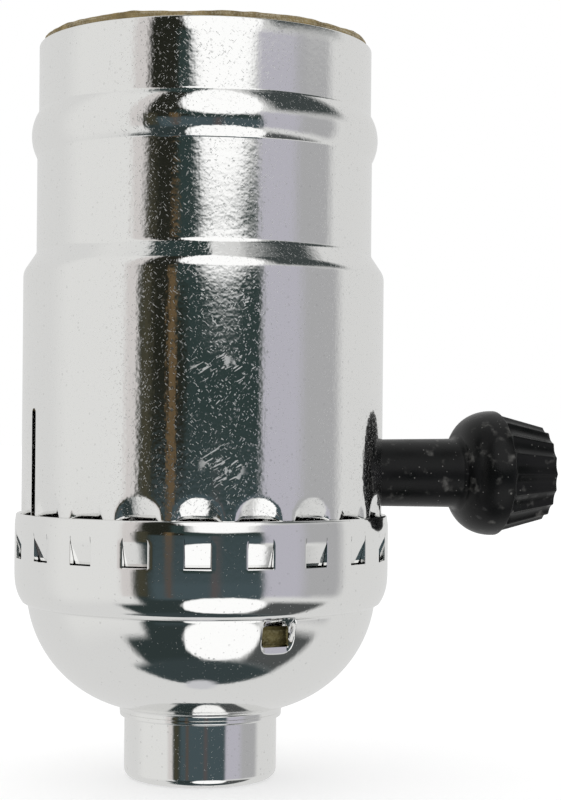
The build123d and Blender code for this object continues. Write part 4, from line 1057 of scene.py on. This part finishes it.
satin = moulded_finish(
    "satin_black", (0.0045, 0.005, 0.005), (0.009, 0.009, 0.0095), (0.26, 0.38), 9, 0.3, shine=0.2
)
put_on(satin, knob)
body_black = moulded_finish("moulded_black", (0.022, 0.02, 0.018), (0.04, 0.034, 0.03), (0.32, 0.5), 10, 0.1)
put_on(body_black, nodes["base_insulator"], nodes["upper_insulator"])
brown = moulded_finish("moulded_brown", (0.20, 0.095, 0.045), (0.30, 0.16, 0.08), (0.35, 0.5), 8, 0.05)
put_on(brown, nodes["rotor"], nodes["detent_cam"])

# %% [markdown]
# Light next, because plate has no look of its own: it shows the room.
# The room is a pale tent with a dark gap towards the eye, a soft box above that gap and one below it.
# Each outline on the sky is said by limits of azimuth and elevation, so each patch is one use of one group.
# The azimuth is counted from the eye's direction, to the right as seen from there.

# %% Studio: a patch group
patch_group, given, result = new_group(
    "studio_patch",
    {"Azimuth": 0, "Elevation": 0, "Left": -10, "Right": 10, "Low": -10, "High": 10, "Softness": 3},
    ["Mask"],
    place=False,
)
inside = 1.0
sides = (("Azimuth", "Left", 1), ("Azimuth", "Right", -1), ("Elevation", "Low", 1), ("Elevation", "High", -1))
for value, limit, way in sides:
    gone = sums(patch_group, "MULTIPLY", sums(patch_group, "SUBTRACT", given[value], given[limit]), way)
    share = sums(patch_group, "DIVIDE", gone, given["Softness"])
    inside = sums(patch_group, "MULTIPLY", inside, mask_between(patch_group, share, -0.5, 0.5))
patch_group.links.new(inside, result["Mask"])
print("patch inputs", [socket.name for socket in patch_group.interface.items_tree][:-1])

# %% Studio: the sky that plate mirrors
world = bpy.data.worlds.new("studio")
bpy.context.scene.world = world
world.use_nodes = True
sky = world.node_tree
sky.nodes.clear()
CAMERA_AZIMUTH = -105.5
axes = add_node(sky, "SeparateXYZ", {0: add_node(sky, "TexCoord").outputs["Generated"]})
polar = sums(sky, "DEGREES", sums(sky, "ARCTAN2", axes.outputs["Y"], axes.outputs["X"]))
azimuth = sums(sky, "WRAP", sums(sky, "SUBTRACT", polar, CAMERA_AZIMUTH), 180.0, -180.0)
elevation = sums(sky, "DEGREES", sums(sky, "ARCSINE", axes.outputs["Z"]))

TENT = (0.72, 0.72, 0.715)
DARK = (0.028, 0.045, 0.043)
BLACK = (0.016, 0.017, 0.012)
PATCHES = (  # colour, then left, right, low, high and softness in degrees; later ones lie on top
    ((0.79, 0.79, 0.78), -100, -40, -30, 60, 24),
    ((0.49, 0.48, 0.54), 38, 74, -20, 15, 8),
    ((0.42, 0.42, 0.43), 66, 96, -20, 15, 12),
    ((0.66, 0.63, 0.62), -47, -33, -20, 90, 6),
    (DARK, -38, 39, -24, 8, 6),
    (BLACK, -36, -8, -3, 78, 6),
    ((0.03, 0.042, 0.042), -38, 2, -64, -2, 7),
    ((0.03, 0.042, 0.042), -56, 2, -64, -36, 9),
    (DARK, -16, 2, 4, 14, 5),
    (DARK, -60, 10, 60, 80, 8),
    ((0.05, 0.06, 0.06), 48, 108, 20, 66, 16),
    ((0.08, 0.085, 0.085), 46, 92, -62, -30, 10),
    ((0.04, 0.055, 0.058), -75, 95, -88, -59, 8),
    ((0.60, 0.60, 0.63), -190, 190, -95, -84, 4),
    ((0.062, 0.088, 0.098), -28, 40, -25, -3, 8),
    ((0.055, 0.052, 0.034), -37, -30, -20, 8, 7),
    ((0.13, 0.088, 0.045), -19.5, -14.5, -3.5, 7, 3),
    ((0.095, 0.078, 0.068), -19, -15, -22, -3, 5),
    ((0.095, 0.085, 0.085), 8, 13, -22, -3, 6),
)
colour = (*TENT, 1)
for tint, left, right, low, high, soft in PATCHES:
    patch = use_group(
        sky, patch_group, Azimuth=azimuth, Elevation=elevation,
        Left=left, Right=right, Low=low, High=high, Softness=soft,
    )
    colour = blend_colours(sky, patch, colour, (*tint, 1))
print(len(PATCHES), "patches")

# %% [markdown]
# The two soft boxes are rounded, and plate shows that well: each is a lens where the sheet bends
# and an ellipse on the dome. Their outline is a superellipse, which is an ellipse with fuller corners.

# %% Studio: two soft boxes
box_group, given, result = new_group(
    "soft_box",
    {
        "Azimuth": 0, "Elevation": 0, "Middle": 0, "Half Width": 30,
        "Level": 0, "Half Height": 30, "Softness": 0.1,
    },
    ["Mask"],
    place=False,
)
FULLNESS = 2.5
gone = 0.0
for value, middle, half in (("Azimuth", "Middle", "Half Width"), ("Elevation", "Level", "Half Height")):
    offset = sums(box_group, "ABSOLUTE", sums(box_group, "SUBTRACT", given[value], given[middle]))
    share = sums(box_group, "POWER", sums(box_group, "DIVIDE", offset, given[half]), FULLNESS)
    gone = sums(box_group, "ADD", gone, share)
outer_rim = sums(box_group, "ADD", 1, given["Softness"])
inner_rim = sums(box_group, "SUBTRACT", 1, given["Softness"])
box_group.links.new(mask_between(box_group, gone, outer_rim, inner_rim), result["Mask"])
BOX_LIGHT = (1.1, 1.1, 1.1, 1)
BOXES = ((14, 29, 37.5, 32, 0.22), (18, 29, -41, 19.5, 0.18))
for middle, half_across, level, half_high, soft in BOXES:
    patch = use_group(
        sky, box_group, Azimuth=azimuth, Elevation=elevation,
        Middle=middle, Half_Width=half_across, Level=level, Half_Height=half_high, Softness=soft,
    )
    colour = blend_colours(sky, patch, colour, BOX_LIGHT)
print(len(BOXES), "soft boxes")

# %% [markdown]
# Only shiny surfaces see those patches. Everything else is lit by a plain, even grey,
# and the eye sees plain white behind the object, as on a cut-out.

# %% Studio: three kinds of ray
PALE_GREY = (0.8, 0.8, 0.8, 1)
path = add_node(sky, "LightPath").outputs
seen = add_node(sky, "Background", {"Color": colour}).outputs[0]
plain = add_node(sky, "Background", {"Color": PALE_GREY}).outputs[0]
white = add_node(sky, "Background", {"Color": (1, 1, 1, 1)}).outputs[0]
mirrored = add_node(sky, "MixShader", {0: path["Is Glossy Ray"], 1: plain, 2: seen}).outputs[0]
whole = add_node(sky, "MixShader", {0: path["Is Camera Ray"], 1: mirrored, 2: white}).outputs[0]
add_node(sky, "OutputWorld", {"Surface": whole})
print("sky nodes", len(sky.nodes))

# %% [markdown]
# The floor is pale and plain. It keeps the soft shadow under the hub, and a little light of its own,
# for the eye's rays only, lifts it to the white of the background.

# %% Floor
FLOOR = 4.0                  # half its width, in metres
LIFT = (0.45, 0.45, 0.45, 1)
floor_mesh = bpy.data.meshes.new("floor")
corners = [(x * FLOOR, y * FLOOR, 0) for x, y in ((-1, -1), (1, -1), (1, 1), (-1, 1))]
floor_mesh.from_pydata(corners, [], [(0, 1, 2, 3)])
floor = bpy.data.objects.new("floor", floor_mesh)
bpy.context.scene.collection.objects.link(floor)
floor.visible_glossy = False
floor_material, tree, shader, place = new_material("pale_floor")
shader.inputs["Base Color"].default_value = PALE_GREY
shader.inputs["Roughness"].default_value = 1
shader.inputs["Specular IOR Level"].default_value = 0
camera_ray = add_node(tree, "LightPath").outputs["Is Camera Ray"]
lift = add_node(tree, "Emission", {"Color": LIFT, "Strength": camera_ray})
total = add_node(tree, "AddShader", {0: shader.outputs[0], 1: lift.outputs[0]})
surface = next(node for node in tree.nodes if node.type == "OUTPUT_MATERIAL").inputs["Surface"]
tree.links.new(total.outputs[0], surface)
put_on(floor_material, floor)
